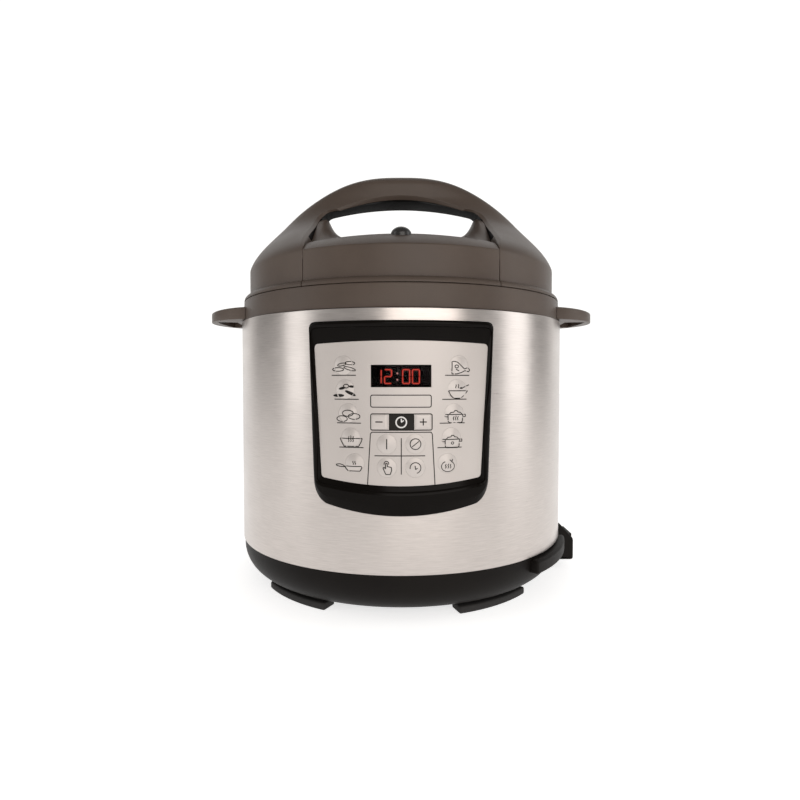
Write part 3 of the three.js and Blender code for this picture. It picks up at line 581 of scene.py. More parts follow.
SLOT_FINISH = {
    "shell_steel": STEEL, "pot_steel": POT_STEEL, "vessel_aluminium": ALUMINIUM, "fastener": FITTING,
    "brown_plastic": BROWN, "base_plastic": NEAR_BLACK, "grip_black": UNDER_GRIP_SHADE_BLACK, "gloss_black": GLOSS,
    "valve_black": VALVE_BLACK, "panel_silver": SILVER, "key_silver": KEY_SILVER, "pin_brass": BRASS,
    "smoked_window": SMOKED, "clear_cup": CLEAR, "silicone": SILICONE, "foot_rubber": RUBBER,
    "circuit_board": BOARD,
}

# ---------------------------------------------------------------- base


def base_ledge():
    inner, outer, bottom, top, start, end = sizes(LEDGE, "inner outer bottom top start end")
    section = [(inner, bottom), (outer, bottom + 0.5), (outer, top - 1.2), (outer - 1.6, top), (inner, top)]
    return arc_bar(fillet(section, 1.6), start, end, 1.4)


def inlet_hood():
    """The hood round the mains inlet, cut to clear the drum's lower edge."""
    near, far, bottom, shoulder, top, top_r = sizes(INLET, "near far bottom shoulder top top_r")
    section = fillet([(near, bottom), (far, bottom), (far, shoulder), (top_r, top), (near, top)],
                     [0.5, 2.6, 4.5, 3.0, 0.5], 5)
    hood = block(section, INLET["y"] - INLET["half"], INLET["y"] + INLET["half"], 2.4)
    inner, outer, below, above = DRUM["r"] - 1.7, DRUM["r"] + GAP, DRUM["bottom"] - GAP, 60
    return boolean(hood, turned([(inner, below), (outer, below), (outer, above), (inner, above)]))


def base_tray():
    r, corner, bottom, wall, hole, lip = sizes(BASE, "r corner bottom wall hole lip")
    middle = (r - corner, bottom + corner)
    outer = join([(hole, bottom)], arc(middle, corner, -90, 0, 20))
    seat = DRUM["bottom"] - GAP
    step = fillet([(r, seat), (r - 1.9, seat), (r - 1.9, lip), (r - wall, lip)], 0.4, 2)
    inner = arc(middle, corner - wall, 0, -90, 10)
    bowl = turned(join(outer, step, inner, [(hole, bottom + wall)]))
    whole = boolean(boolean(bowl, base_ledge(), "UNION"), inlet_hood(), "UNION")
    socket = box(SOCKET["back"], INLET["far"] + 1, INLET["y"] - SOCKET["half"], INLET["y"] + SOCKET["half"],
                 SOCKET["bottom"], SOCKET["top"])
    return boolean(whole, socket)


def foot(index):
    inner, outer, height, sweep, middles = sizes(FOOT, "inner outer height sweep middles")
    section = fillet([(inner, 0), (outer, 0), (outer, height), (inner, height)], 1.4)
    return arc_bar(section, middles[index] - sweep / 2, middles[index] + sweep / 2, 1.2)


# ---------------------------------------------------------------- drum, collar and side handles


def drum():
    """The steel skin, hemmed inwards at both ends and open behind the control panel."""
    r, wall, bottom, top, hem, edge = sizes(DRUM, "r wall bottom top hem edge")
    fold, inside = r - hem, r - wall
    profile = fillet([
        (fold, bottom), (r, bottom), (r, top), (fold, top), (fold, top - wall), (inside, top - wall),
        (inside, bottom + wall), (fold, bottom + wall),
    ], [0, edge, edge, 0, 0, 0, 0, 0])
    tall = line((r, bottom + edge), (r, top - edge), 12)[1:-1]
    start = int(np.argmin(np.abs(profile - (r, bottom + edge)).sum(1))) + 1
    profile = np.concatenate([profile[:start], tall, profile[start:]])
    cutout = box(-CUTOUT["half"], CUTOUT["half"], -140, -100, CUTOUT["bottom"], CUTOUT["top"])
    return boolean(turned(profile, 256), cutout)


def collar():
    r, inner, relief, bottom, top = sizes(COLLAR, "r inner relief bottom top")
    return turned(fillet([
        (r, bottom), (r, top), (inner, top), (inner, bottom + 5), (relief, bottom + 5), (relief, bottom),
    ], [0.5, 1.1, 0.5, 0, 0, 0]))


def ear(side):
    """A side handle: a round lobe with a crisp lower edge, a softer top edge and a hollow underside."""
    centre, r, bottom, top, soft = sizes(EAR, "centre r bottom top round")
    root = COLLAR["r"] + GAP
    x = (root ** 2 + centre ** 2 - r ** 2) / (2 * centre)
    spread = math.degrees(math.acos((x - centre) / r))
    start = math.degrees(math.acos(x / root))
    lobe = arc((centre, 0), r, -spread, spread, 64)
    back = arc((0, 0), root, start, -start, 24)[1:-1]
    mask = np.concatenate([np.ones(len(lobe)), np.zeros(len(back))])
    mask[[0, len(lobe) - 1]] = 0
    turns = np.linspace(0, np.pi / 2, 6)
    over = [(soft * (1 - math.sin(a)), top - soft * (1 - math.cos(a))) for a in turns]
    under = [(0.0, bottom + 0.5), (0.15, bottom + 0.15), (0.5, bottom), (4.0, bottom)]
    points, faces = pillow(np.concatenate([lobe, back]), over + under, mask)
    upper = points[:, 2] > (bottom + top) / 2
    out = np.clip((points[:, 0] - x) / (centre + r - x), 0, 1)
    points[:, 2] -= upper * EAR["fall"] * out ** 1.5
    near, far, low_end, high_end = root + 6, centre + r - 8, bottom - 2, bottom + EAR["recess"]
    hollow = arc_bar([(near, low_end), (far, low_end), (far, high_end), (near, high_end)], -9, 9, 0.5, 8)
    points, faces = boolean((points, faces), hollow)
    return points * (side, 1, 1), faces


# ---------------------------------------------------------------- vessel, pot and heater


def teeth(inner, outer, bottom, top):
    half = BAYONET["width"] / 2
    section = fillet([(inner, bottom), (outer, bottom), (outer, top), (inner, top)], 0.6, 3)
    one = arc_bar(section, -half, half, 0.5, 6)
    return merged(*[spun(one, 360 / BAYONET["count"] * i) for i in range(BAYONET["count"])])


def pressure_vessel():
    r, wall, floor, flange, rim, top = sizes(VESSEL, "r wall floor flange rim top")
    hole, inside, lip = HEATER["hole"] + 1, r - wall, flange - 1.6
    cup = turned(fillet([
        (hole, floor), (r, floor), (r, rim), (flange, rim), (flange, top), (lip, top), (lip, rim + wall),
        (inside, rim + wall), (inside, floor + wall), (hole, floor + wall),
    ], [0.4, 8, 0.8, 0.8, 0.5, 0.5, 0.8, 1.5, 7, 0.4], 6))
    return boolean(cup, teeth(BAYONET["vessel_inner"], flange - 1, top - 2, top - 0.1), "UNION")


def inner_pot():
    bore, wall, floor, rim, flange = sizes(POT, "bore wall floor rim flange")
    outer = bore + wall
    return turned(fillet([
        (0, floor), (outer, floor), (outer, rim), (flange, rim), (flange, rim + wall), (bore, rim + wall),
        (bore, floor + wall), (0, floor + wall),
    ], [0, 11, 0.6, 0.5, 0.5, 1.2, 10, 0], 8))


def heating_plate():
    """A plate with three shallow rings cut into its face."""
    r, hole, bottom, top = sizes(HEATER, "r hole bottom top")
    face, groove = top - 0.05, top - 0.9
    rings = []
    for ring in HEATER["rings"]:
        rings += [(ring + 1.6, face), (ring + 0.8, groove), (ring - 0.8, groove), (ring - 1.6, face)]
    outer = fillet([(hole, top), (hole, bottom), (r, bottom), (r, top - 1.2)], [1.2, 0.6, 0.8, 1.5])
    return turned(np.concatenate([outer, [(r - 3, face)], sorted(rings, reverse=True)]))


def sensor():
    r, stem, bottom, shoulder, top = sizes(SENSOR, "r stem bottom shoulder top")
    return turned(fillet([
        (0, bottom), (stem, bottom), (stem, shoulder), (r, shoulder), (r, top), (0, top),
    ], [0, 0.6, 0.5, 0.6, 1.6, 0]), ROUND_SMALL)


# ---------------------------------------------------------------- control panel


def bent(shape):
    """Bends a flat panel shape, of X, height over the drum and Z, round the drum."""
    x, height, z = shape[0].T
    return np.stack([x, -np.sqrt((DRUM["r"] + height) ** 2 - x * x), z], 1), shape[1]


def mirrored(right):
    """A closed outline from its right half, which runs from the top of the middle line to its foot."""
    left = right[1:-1][::-1] * (-1, 1)
    return np.concatenate([right, left])


def bezel_outline():
    top, bottom, bow, shoulder = BEZEL["top"], BEZEL["bottom"], BEZEL["bow"], BEZEL["shoulder"]
    side, low_side, corner = BEZEL["half_top"], BEZEL["half_bottom"], BEZEL["corner"]
    foot_end = (low_side - 8, bottom + bow)
    return mirrored(join(
        line((0, top), (side - corner, top), 24),
        bezier((side - corner, top), (side, top), (side - 0.2, top - corner), 10),
        line((side - 0.2, top - corner), (low_side, shoulder), 40),
        bezier((low_side, shoulder), (low_side - 1, shoulder - 10), foot_end, 16),
        bezier(foot_end, (0, bottom - bow), (-foot_end[0], foot_end[1]), 28, until=0.5),
    ))


def fascia_outline(grow=0.0):
    corner, bow = FASCIA["corner"], FASCIA["bow"]
    right, low_side = FASCIA["half_top"] + grow, FASCIA["half_bottom"] + grow
    top, base = FASCIA["top"] + grow, FASCIA["bottom"] - grow
    crest = bezier((-right + corner, top - 1.5), (0, top + 1.5), (right - corner, top - 1.5), 48)[24:]
    foot_end = (low_side - corner, base + bow)
    return mirrored(join(
        crest,
        bezier(crest[-1], (right, top - 1.5), (right, top - 1.5 - corner), 10),
        line((right, top - 1.5 - corner), (low_side, base + bow + corner), 40),
        bezier((low_side, base + bow + corner), (low_side, base + bow), foot_end, 16),
        bezier(foot_end, (0, base - bow), (-foot_end[0], foot_end[1]), 28, until=0.5),
    ))


def bezel():
    """A ring between two outlines: narrow rims at the sides, a flat bar on top and a deep lip below."""
    outer, inner = bezel_outline(), fascia_outline(0.25)
    across = inner - outer
    span = np.linalg.norm(across, axis=1)
    lip = smoothstep((LIP["below"] - outer[:, 1]) / LIP["over"])
    bar = smoothstep((outer[:, 1] - BAR["above"]) / BAR["over"])
    crest, floor, back = BEZEL["height"], FASCIA["height"] + 0.45, BEZEL["back"]
    rim_at = BEZEL["rim"] + BAR["wider"] * bar + lip * (span - LIP["edge"])
    rim_in = rim_at + BEZEL["bevel"] + 0.1 * bar
    edge_height = crest - 0.9 - LIP["drop"] * lip
    loops = []
    for i in range(len(outer)):
        near, far = rim_at[i], rim_in[i]
        mid = edge_height[i] + 0.75 * (crest - edge_height[i])
        section = fillet([
            (0.0, back), (0.0, edge_height[i]), (near * 0.5, mid), (near, crest), (far, crest - 0.5),
            (min(far + 0.7, span[i] - 0.6), floor + 0.1), (span[i], floor - 0.25), (span[i], back),
        ], [0, 0.8, 2.0, 0.7, 0.6, 0.5, 0.15, 0], 4)
        step = across[i] / span[i]
        spots = outer[i] + section[:, :1] * step
        loops.append(np.stack([spots[:, 0], section[:, 1], spots[:, 1]], 1))
    return bent(tube(loops, ring=True))


def across_panel(section, half, count):
    """A flat panel shape: a section of height and Z repeated across the panel."""
    places = np.linspace(-half, half, count)
    return tube([np.column_stack([np.full(len(section), x), section]) for x in places])


def fascia():
    """The silver sheet: a fine grid trimmed to its outline, bent, and cut for the keys and the window."""
    back, face = FASCIA["back"], FASCIA["height"]
    bottom, top = FASCIA["bottom"] - 6.5, FASCIA["top"] + 3.7
    section = np.concatenate([line((face, bottom), (face, top), 34), line((back, top), (back, bottom), 34)])
    prism = tube([standing(fascia_outline(), height) for height in (-5, 10)])
    sheet = bent(boolean(across_panel(section, FASCIA["half_top"] + 2, 59), prism, "INTERSECT"))
    half, bottom, top = DISPLAY["half"] + GAP, DISPLAY["bottom"] - GAP, DISPLAY["top"] + GAP
    window = box(-half, half, -150, -100, bottom, top)
    holes = [key_shape(key, grow=KEY["clearance"]) for key in KEYS]
    return boolean(sheet, merged(window, *holes))


def window_pane():
    half, bottom, top = sizes(DISPLAY, "half bottom top")
    face, back = FASCIA["height"], 2.0
    section = fillet([(face, bottom), (face, top), (back, top), (back, bottom)], 0.15, 2)
    return bent(across_panel(section, half, 25))


FOOD_ROWS = [(168.8, 36.8), (153.6, 35.6), (138.5, 33.8), (123.0, 32.0), (106.6, 29.5)]
COMMANDS = {"start": (-9.0, 119.2), "stop": (9.0, 119.2), "manual": (-9.0, 104.2), "delay": (9.0, 104.2)}
STEP_KEY = {"height": 133.1, "x": 13.9, "half": 5.2, "rise": 4.7}

KEYS = [{"node": f"food_key_{side}_{i + 1}", "x": sign * x, "z": z, "flat": False}
        for side, sign in (("left", -1), ("right", 1)) for i, (z, x) in enumerate(FOOD_ROWS)]
KEYS += [{"node": f"{job}_key", "x": x, "z": z, "flat": False} for job, (x, z) in COMMANDS.items()]
KEYS += [{"node": f"{job}_key", "x": sign * STEP_KEY["x"], "z": STEP_KEY["height"], "flat": True}
         for job, sign in (("minus", -1), ("plus", 1))]


def key_height(across, up, flat):
    """How far a key's face stands over the fascia, at a place on it."""
    sag = across ** 2 / (2 * FASCIA_R)
    if flat:
        edge = np.minimum(STEP_KEY["half"] - np.abs(across), STEP_KEY["rise"] - np.abs(up))
        return 0.35 * smoothstep(edge / 1.2) - sag
    share = np.clip(np.hypot(across, up) / KEY["r"], 0, 1)
    return KEY["crown"] * (1 - share ** 2) ** 1.4 - sag


def on_key(key, across, up, out):
    """Points given from a key's centre: across it, up it and out of the fascia."""
    turn = math.asin(key["x"] / FASCIA_R)
    c, s = math.cos(turn), math.sin(turn)
    reach = FASCIA_R + out
    return np.stack([s * reach + c * across, -c * reach + s * across, key["z"] + up], 1)


def key_shape(key, grow=None):
    """A key, or with a clearance to grow by, the cutter for its hole."""
    rings = []
    if key["flat"]:
        half, rise = STEP_KEY["half"] + (grow or 0), STEP_KEY["rise"] + (grow or 0)
        outline = fillet([(half, -rise), (half, rise), (-half, rise), (-half, -rise)], 1.0, 6)
        outline = resample(np.vstack([outline, outline[:1]]), 73)[:-1]
    else:
        outline = arc((0, 0), KEY["r"] + (grow or 0), 0, 360, ROUND_SMALL)[:-1]
    for i, share in enumerate(KEY_RINGS if grow is None else KEY_RINGS[:2]):
        across, up = (outline * share).T
        if grow is not None:
            out = np.full(len(across), (-KEY["skirt"] - 4, 5)[i])
        elif i == 0:
            out = np.full(len(across), -KEY["skirt"])
        else:
            out = key_height(across, up, key["flat"])
        rings.append(on_key(key, across, up, out))
    return tube(rings)


# ---------------------------------------------------------------- print on the panel

PRINT = {"sunk": 0.06, "proud": 0.05, "width": 0.6, "step": 0.3}


def ribbon(path, width=None, closed=False):
    """The two edges of a flat stroke along a path."""
    path = np.asarray(path, float)
    width = PRINT["width"] if width is None else width
    if closed:
        path = np.vstack([path, path[:1]])
    length = np.linalg.norm(np.diff(path, axis=0), axis=1).sum()
    count = max(3, int(length / PRINT["step"]) + 1)
    if np.size(width) > 1:
        width = np.interp(np.linspace(0, 1, count), np.linspace(0, 1, len(width)), width)
    path = resample(path, count)
    way = unit(np.gradient(path, axis=0))
    side = np.stack([-way[:, 1], way[:, 0]], 1) * (np.broadcast_to(width, len(path)) / 2)[:, None]
    return path - side, path + side


def laid(near, far, place):
    """A closed thin solid between two edges.

    The place function turns places on a surface, with a height over it, into points.
    """
    edges = [(near, -PRINT["sunk"]), (far, -PRINT["sunk"]), (far, PRINT["proud"]), (near, PRINT["proud"])]
    columns = [place(edge[:, 0], edge[:, 1], lift) for edge, lift in edges]
    return tube(np.stack(columns, 1))


def on_fascia(x, z, lift):
    height = FASCIA["height"] + lift
    return np.stack([x, -np.sqrt((DRUM["r"] + height) ** 2 - x * x), z], 1)


def printed(path, width=None, closed=False):
    return laid(*ribbon(path, width, closed), on_fascia)


def filled(x0, x1, z0, z1):
    """A printed block."""
    middle = (z0 + z1) / 2
    return printed([(x0, middle), (x1, middle)], z1 - z0)


def framed(x0, x1, z0, z1, corner):
    """A printed frame with rounded corners."""
    return printed(fillet([(x0, z0), (x1, z0), (x1, z1), (x0, z1)], corner, 5), closed=True)


def ellipse(x, z, a, b, tilt=0.0):
    angles = np.linspace(0, 2 * np.pi, 25)[:-1]
    c, s = math.cos(math.radians(tilt)), math.sin(math.radians(tilt))
    u, v = a * np.cos(angles), b * np.sin(angles)
    return np.stack([x + c * u - s * v, z + s * u + c * v], 1)


def fat_pod(x, z, a, b, tilt=0.0):
    """A filled pod as a stroke that is widest in its middle."""
    c, s = math.cos(math.radians(tilt)), math.sin(math.radians(tilt))
    path = [(x - a * c, z - a * s), (x + a * c, z + a * s)]
    t = np.linspace(-1, 1, 21)
    return {"path": path, "width": 2 * b * np.sqrt(1 - t * t) + 0.12}


def steam(x, top, bottom):
    heights = np.linspace(top, bottom, 9)
    return {"path": np.stack([x + 0.22 * np.sin(heights * 3.2), heights], 1), "width": 0.55}


def stroke(*points, closed=False, width=0.58):
    return {"path": points, "closed": closed, "width": width}


def loop(path, width=0.58):
    return {"path": path, "closed": True, "width": width}


def steam_over(x, top, bottom):
    """Three wisps of steam side by side, the middle one higher."""
    return [steam(x - 1.3, top, bottom), steam(x, top + 0.3, bottom), steam(x + 1.3, top, bottom)]


def cooking_pot():
    return [
        stroke((-4.6, -0.2), (-4.4, -4.4), (-3.5, -5.2), (3.5, -5.2), (4.4, -4.4), (4.6, -0.2)),
        stroke((-4.6, -1.6), (-6.2, -1.6), (-6.2, -0.2), (6.2, -0.2), (6.2, -1.6), (4.6, -1.6)),
        stroke((-4.0, -0.2), (-3.0, 1.0), (-1.1, 1.3), (-0.8, 2.1), (0.8, 2.1), (1.1, 1.3), (3.0, 1.0),
               (4.0, -0.2)),
    ]


# The left, right, bottom and top of each food key's symbol, from the middle of its key.
ICON_BOX = {
    "food_key_left_1": (-7.3, 8.3, -3.7, 2.4), "food_key_left_2": (-8.1, 7.1, -4.1, 3.2),
    "food_key_left_3": (-7.5, 8.0, -5.4, 1.9), "food_key_left_4": (-7.1, 7.6, -5.6, 1.3),
    "food_key_left_5": (-12.6, 4.8, -4.9, 1.6), "food_key_right_1": (-4.8, 7.3, -5.4, 2.5),
    "food_key_right_2": (-5.8, 8.1, -5.7, 3.2), "food_key_right_3": (-6.1, 7.5, -6.1, 1.6),
    "food_key_right_4": (-6.0, 7.0, -6.5, 1.4), "food_key_right_5": (-4.1, 4.5, -5.3, 2.7),
}

ICONS = {
    "food_key_left_1": [
        loop(ellipse(-4.0, -2.3, 3.0, 1.15)), loop(ellipse(1.9, -1.9, 3.0, 0.85, -22)),
        loop(ellipse(-2.0, 0.8, 2.3, 0.85, 14)), loop(ellipse(2.0, 1.7, 2.3, 1.05, -4)),
    ],
    "food_key_left_2": [
        fat_pod(-4.3, -3.0, 3.5, 0.95), fat_pod(2.9, -1.9, 3.3, 0.95, -22),
        fat_pod(-2.0, 0.5, 2.2, 0.8, 10), loop(ellipse(0.4, 1.5, 1.6, 0.9)), fat_pod(3.6, 1.3, 1.7, 0.7, -4),
    ],
    "food_key_left_3": [
        loop(ellipse(-4.0, -3.2, 3.1, 1.7)), loop(ellipse(-0.6, 0.1, 3.1, 1.8)),
        loop(ellipse(2.9, -1.8, 3.2, 1.7)),
    ],
    "food_key_left_4": [
        stroke((-6.8, -0.4), (6.6, -0.4), (6.0, -2.2), (4.4, -4.8), (-4.5, -4.8), (-6.2, -2.0), closed=True),
        *steam_over(0.0, 0.9, -2.3),
    ],
    "food_key_left_5": [
        stroke((-10.6, -0.4), (-8.2, 0.0), (-6.2, -0.6), (-4.8, -1.5), (-7.2, -1.6), (-10.0, -1.1),
               closed=True),
        stroke((-4.8, -1.1), (4.9, -1.1), (5.2, -1.8), (4.1, -3.8), (-3.1, -3.8), (-4.7, -2.3), closed=True),
        steam(0.2, 2.0, -0.1), steam(1.4, 2.0, -0.1),
    ],
    "food_key_right_1": [
        stroke((-4.8, 2.5), (-3.3, 2.6), (-1.7, 2.1), (0.3, 0.2), (2.7, -1.9), (4.5, -1.2), (5.5, -1.5),
               (6.1, -2.6), (5.3, -3.6), (4.3, -3.1), (2.9, -2.9), (1.1, -3.9), (-1.7, -4.8), (-4.8, -4.8),
               closed=True),
        loop(ellipse(-2.2, -0.4, 1.0, 0.9)), stroke((-2.6, -2.0), (-0.6, -3.1)),
    ],
    "food_key_right_2": [
        stroke((-5.1, -0.6), (5.9, -0.6), (4.0, -3.3), (2.0, -5.0), (-2.1, -5.0), (-3.8, -3.3), closed=True),
        fat_pod(2.0, 1.0, 1.1, 0.5), stroke((3.0, 1.2), (6.8, 2.9)),
        steam(-1.1, 3.0, 0.9), steam(0.3, 3.2, 0.9),
    ],
    "food_key_right_3": [*cooking_pot(), *steam_over(0.0, -1.2, -3.8)],
    "food_key_right_4": [*cooking_pot(), loop(ellipse(0.0, -2.4, 0.8, 0.7), 0.5)],
    "food_key_right_5": [
        {"path": arc((0.2, -1.1), 3.5, 118, 418, 30), "width": 0.5},
        stroke((1.0, 3.2), (2.2, 1.9), (2.7, 3.5)), *steam_over(0.2, 0.4, -2.4),
    ],
    "start_key": [stroke((0, 3.2), (0, -3.3), width=0.7)],
    "stop_key": [loop(ellipse(0, 0, 3.4, 3.4), 0.55), stroke((-2.2, -1.7), (2.2, 1.8), width=0.55)],
    "manual_key": [
        stroke((-0.7, 2.9), (0.3, 2.9), (0.4, 0.9), (2.9, 0.4), (3.1, -1.6), (2.2, -4.2), (-0.6, -4.2),
               (-1.5, -2.1), (-2.4, 0.0), (-1.6, 0.4), (-0.7, -0.6), closed=True),
        {"path": arc((-0.2, 2.6), 1.5, -20, 200, 12), "width": 0.55},
    ],
    "delay_key": [
        {"path": arc((0, -0.1), 3.4, -75, 190, 30), "width": 0.55},
        stroke((-0.3, 1.4), (0.0, -1.0), (1.3, -0.1)),
    ],
    "minus_key": [stroke((-2.3, 0), (2.3, 0), width=0.75)],
    "plus_key": [stroke((-2.2, 0), (2.2, 0), width=0.75), stroke((0, 2.2), (0, -2.2), width=0.75)],
}


def runs(inside):
    """The stretches of two or more trues in a row of true and false, as pairs of start and end."""
    edges = np.flatnonzero(np.diff(np.concatenate([[0], inside.astype(int), [0]])))
    return [(a, b) for a, b in zip(edges[::2], edges[1::2]) if b - a >= 2]


def fitted(marks, box):
    """Marks stretched so that together they fill a box of left, right, bottom and top."""
    places = np.concatenate([np.asarray(mark["path"], float) for mark in marks])
    low, high = places.min(0), places.max(0)
    start, end = np.array([box[0], box[2]]), np.array([box[1], box[3]])
    scale = (end - start) / (high - low)
    return [{**mark, "path": start + (np.asarray(mark["path"], float) - low) * scale} for mark in marks]


def held(edge, least, most):
    """An edge with its points kept between two distances from a key's middle."""
    reach = np.maximum(np.hypot(*edge.T), 1e-9)
    return edge * (np.clip(reach, least, most) / reach)[:, None]


def stretches(near, far, inside, limits, place):
    """The stretches of a stroke that are inside, laid on a surface and held between two distances."""
    return [laid(held(near[a:b], *limits), held(far[a:b], *limits), place) for a, b in runs(inside)]


def icon(key):
    """A key's symbol in two lots: what is on the key, and what is on the fascia round it."""
    slope = math.cos(math.asin(key["x"] / FASCIA_R))
    flat = key["flat"]
    inner = math.inf if flat else KEY["r"] - 0.03
    outer = KEY["r"] + KEY["clearance"] + 0.02

    def on_dome(across, up, lift):
        return on_key(key, across, up, key_height(across, up, flat) + lift)

    def beside(across, up, lift):
        return on_fascia(key["x"] + across * slope, key["z"] + up, lift)

    marks = ICONS[key["node"]]
    if key["node"] in ICON_BOX:
        marks = fitted(marks, ICON_BOX[key["node"]])
    own, around = [], []
    for mark in marks:
        near, far = ribbon(mark["path"], mark["width"], mark.get("closed", False))
        reach = np.hypot(*((near + far) / 2).T)
        own += stretches(near, far, reach < inner, (0, inner), on_dome)
        if not flat:
            around += stretches(near, far, reach > outer, (outer, math.inf), beside)
    return own, around


STEP_ROW = {"left": -19.2, "right": 19.6, "bottom": 127.9, "top": 138.2}
CLOCK = {"x": 0.1, "z": 132.9, "r": 3.3, "left": -7.7, "right": 8.3}
RULE_DROP = 6.3             # how far the line under a food key lies below the key's middle
RULES = [(-7.6, 8.2), (-7.0, 8.8), (-7.2, 8.4), (-7.5, 8.2)]


def clock():
    """The pale clock face and hands, laid on their dark block."""
    def on_block(x, z, lift):
        return on_fascia(x, z, lift + PRINT["proud"])

    x, z, r = sizes(CLOCK, "x z r")
    face = laid(*ribbon(ellipse(x, z, r, r), 0.85, True), on_block)
    hands = laid(*ribbon([(x, z + 2.3), (x + 0.05, z + 0.1), (x + 1.6, z + 1.2)], 0.7), on_block)
    return merged(face, hands)


def key_rules():
    """The lines under the upper four rows of food keys; the right one of the third row is broken."""
    rules = []
    for row, ((z, x), (near, far)) in enumerate(zip(FOOD_ROWS, RULES)):
        ends = [(-x + near, -x + far)]
        if row == 2:
            ends += [(x - 9.4, x - 2.2), (x + 3.2, x + 6.8)]
        else:
            ends.append((x - far - 0.8, x - near - 0.8))
        rules += [printed([(start, z - RULE_DROP), (end, z - RULE_DROP)]) for start, end in ends]
    return rules


def panel_print():
    """The dark lines and blocks on the fascia."""
    left, right, bottom, top = sizes(STEP_ROW, "left right bottom top")
    commands = [(-21.3, 92.6), (-19.4, 125.4), (-18.6, 126.6), (18.9, 126.6), (19.7, 125.4), (21.5, 92.6)]
    return merged(
        framed(left, 19.0, 142.4, 150.0, 1.3), framed(left, right, bottom, top, 1.2),
        printed(fillet(commands, [0, 1.0, 0.8, 0.8, 1.0, 0], 4, closed=False)),
        printed([(0.1, 122.9), (0.1, 99.9)]), printed([(-16.8, 111.7), (15.2, 111.7)]),
        filled(CLOCK["left"], CLOCK["right"], bottom, top), *key_rules(),
    )


# ---------------------------------------------------------------- display

DIGIT = {"width": 4.4, "height": 8.6, "bar": 0.85, "front": -131.05, "foot": -130.55, "back": -130.6}
SEGMENTS = {"1": "bc", "2": "abged", "0": "abcdef"}
DIGIT_PLACES = [("1", -17.0), ("2", -10.5), ("0", 1.0), ("0", 7.2)]


def digit_bar(path):
    """A straight bar with pointed ends, upright in front of the display module."""
    start, end = np.asarray(path, float)
    nose = unit(end - start) * DIGIT["bar"] / 2
    side = np.array([-nose[1], nose[0]])
    ring = np.array([start, start + nose + side, end - nose + side,
                     end, end - nose - side, start + nose - side])
    return tube([standing(ring, y) for y in (DIGIT["front"], DIGIT["foot"])])


def digits():
    """The bars of the lit digits, and the two dots between them."""
    middle = (DISPLAY["bottom"] + DISPLAY["top"]) / 2 - 0.3
    w, h = DIGIT["width"], DIGIT["height"] / 2
    places = {
        "a": ((0, h), (w, h)), "b": ((w, h), (w, 0)), "c": ((w, 0), (w, -h)), "d": ((0, -h), (w, -h)),
        "e": ((0, 0), (0, -h)), "f": ((0, h), (0, 0)), "g": ((0, 0), (w, 0)),
    }
    bars = []
    for number, left in DIGIT_PLACES:
        for name in SEGMENTS[number]:
            bars.append(digit_bar([(left + x, middle + z) for x, z in places[name]]))
    front, foot_y = DIGIT["front"], DIGIT["foot"]
    dots = [box(-2.9, -1.9, front, foot_y, z - 0.5, z + 0.5) for z in (middle - 2, middle + 2)]
    return merged(*bars), merged(*dots)


def display_module():
    half = DISPLAY["half"] - 1
    return box(-half, half, DIGIT["back"], -124.6, DISPLAY["bottom"], DISPLAY["top"], 0.3)


# ---------------------------------------------------------------- lid


def skin_section(z):
    """The lid's half width, half depth and squareness at a height, or at many."""
    z = np.asarray(z, float)
    rise = np.clip((z - LID["bottom"]) / (LID["bead_top"] - LID["bottom"]), 0, 1)
    bead = LID["r"] + (LID["bead"] - LID["r"]) * np.sqrt(1 - rise * rise)
    climb = np.clip((z - LID["shoulder"]) / (LID["ridge"] - LID["shoulder"]), 0, 1)
    dome = LID["r"] * (1 - climb ** (1 / LID["lean"])) ** (1 / LID["bulge"])
    wide = np.where(z <= LID["bead_top"], bead, dome)
    flare = 1 - smoothstep((z - GRIP["flare_from"]) / (GRIP["flare_to"] - GRIP["flare_from"]))
    top = np.clip((z - LID["ridge"] + GRIP["crest"]) / GRIP["crest"], 0, 1)
    grip = GRIP["half"] * np.sqrt(1 - top * top)
    deep = np.minimum(wide, grip + (wide - GRIP["half"]) * flare)
    square = smoothstep((z - GRIP["square_from"]) / (GRIP["square_to"] - GRIP["square_from"]))
    return wide, np.where(z <= LID["bead_top"], wide, deep), 2 + GRIP["squareness"] * square


def skin_depth(x, z):
    """How far the lid's skin stands in front of the middle plane."""
    wide, deep, power = skin_section(z)
    share = np.clip(np.abs(x) / np.maximum(wide, 1e-6), 0, 1)
    return deep * (1 - share ** power) ** (1 / power)


def tunnel_side(mouth, steps=46):
    """The right half of the way through under the grip, from where it closes in to the middle."""
    half = DOME["half"] + GAP
    bend = mouth["side"] - mouth["corner"]
    side = line((half, MOUTH_START), (half, bend), 8) if bend > MOUTH_START else [(half, MOUTH_START)]
    corner = bezier((half, bend), (half, mouth["side"]), (half - mouth["corner"], mouth["corner_end"]), 60)
    x, z = corner[-1]
    arch = bezier((x, z), (0, 2 * GRIP["under"] - z), (-x, z), 120, until=0.5)
    return resample(join(side, corner, arch), steps)


def ridge_side(start, count):
    """The right half of the lid's outline from a height to the middle of the ridge."""
    climb = 1 - (1 - np.linspace(0, 1, 3000)) ** 2.6
    z = start + (LID["ridge"] - start) * climb
    return resample(np.stack([skin_section(z)[0], z], 1), count)


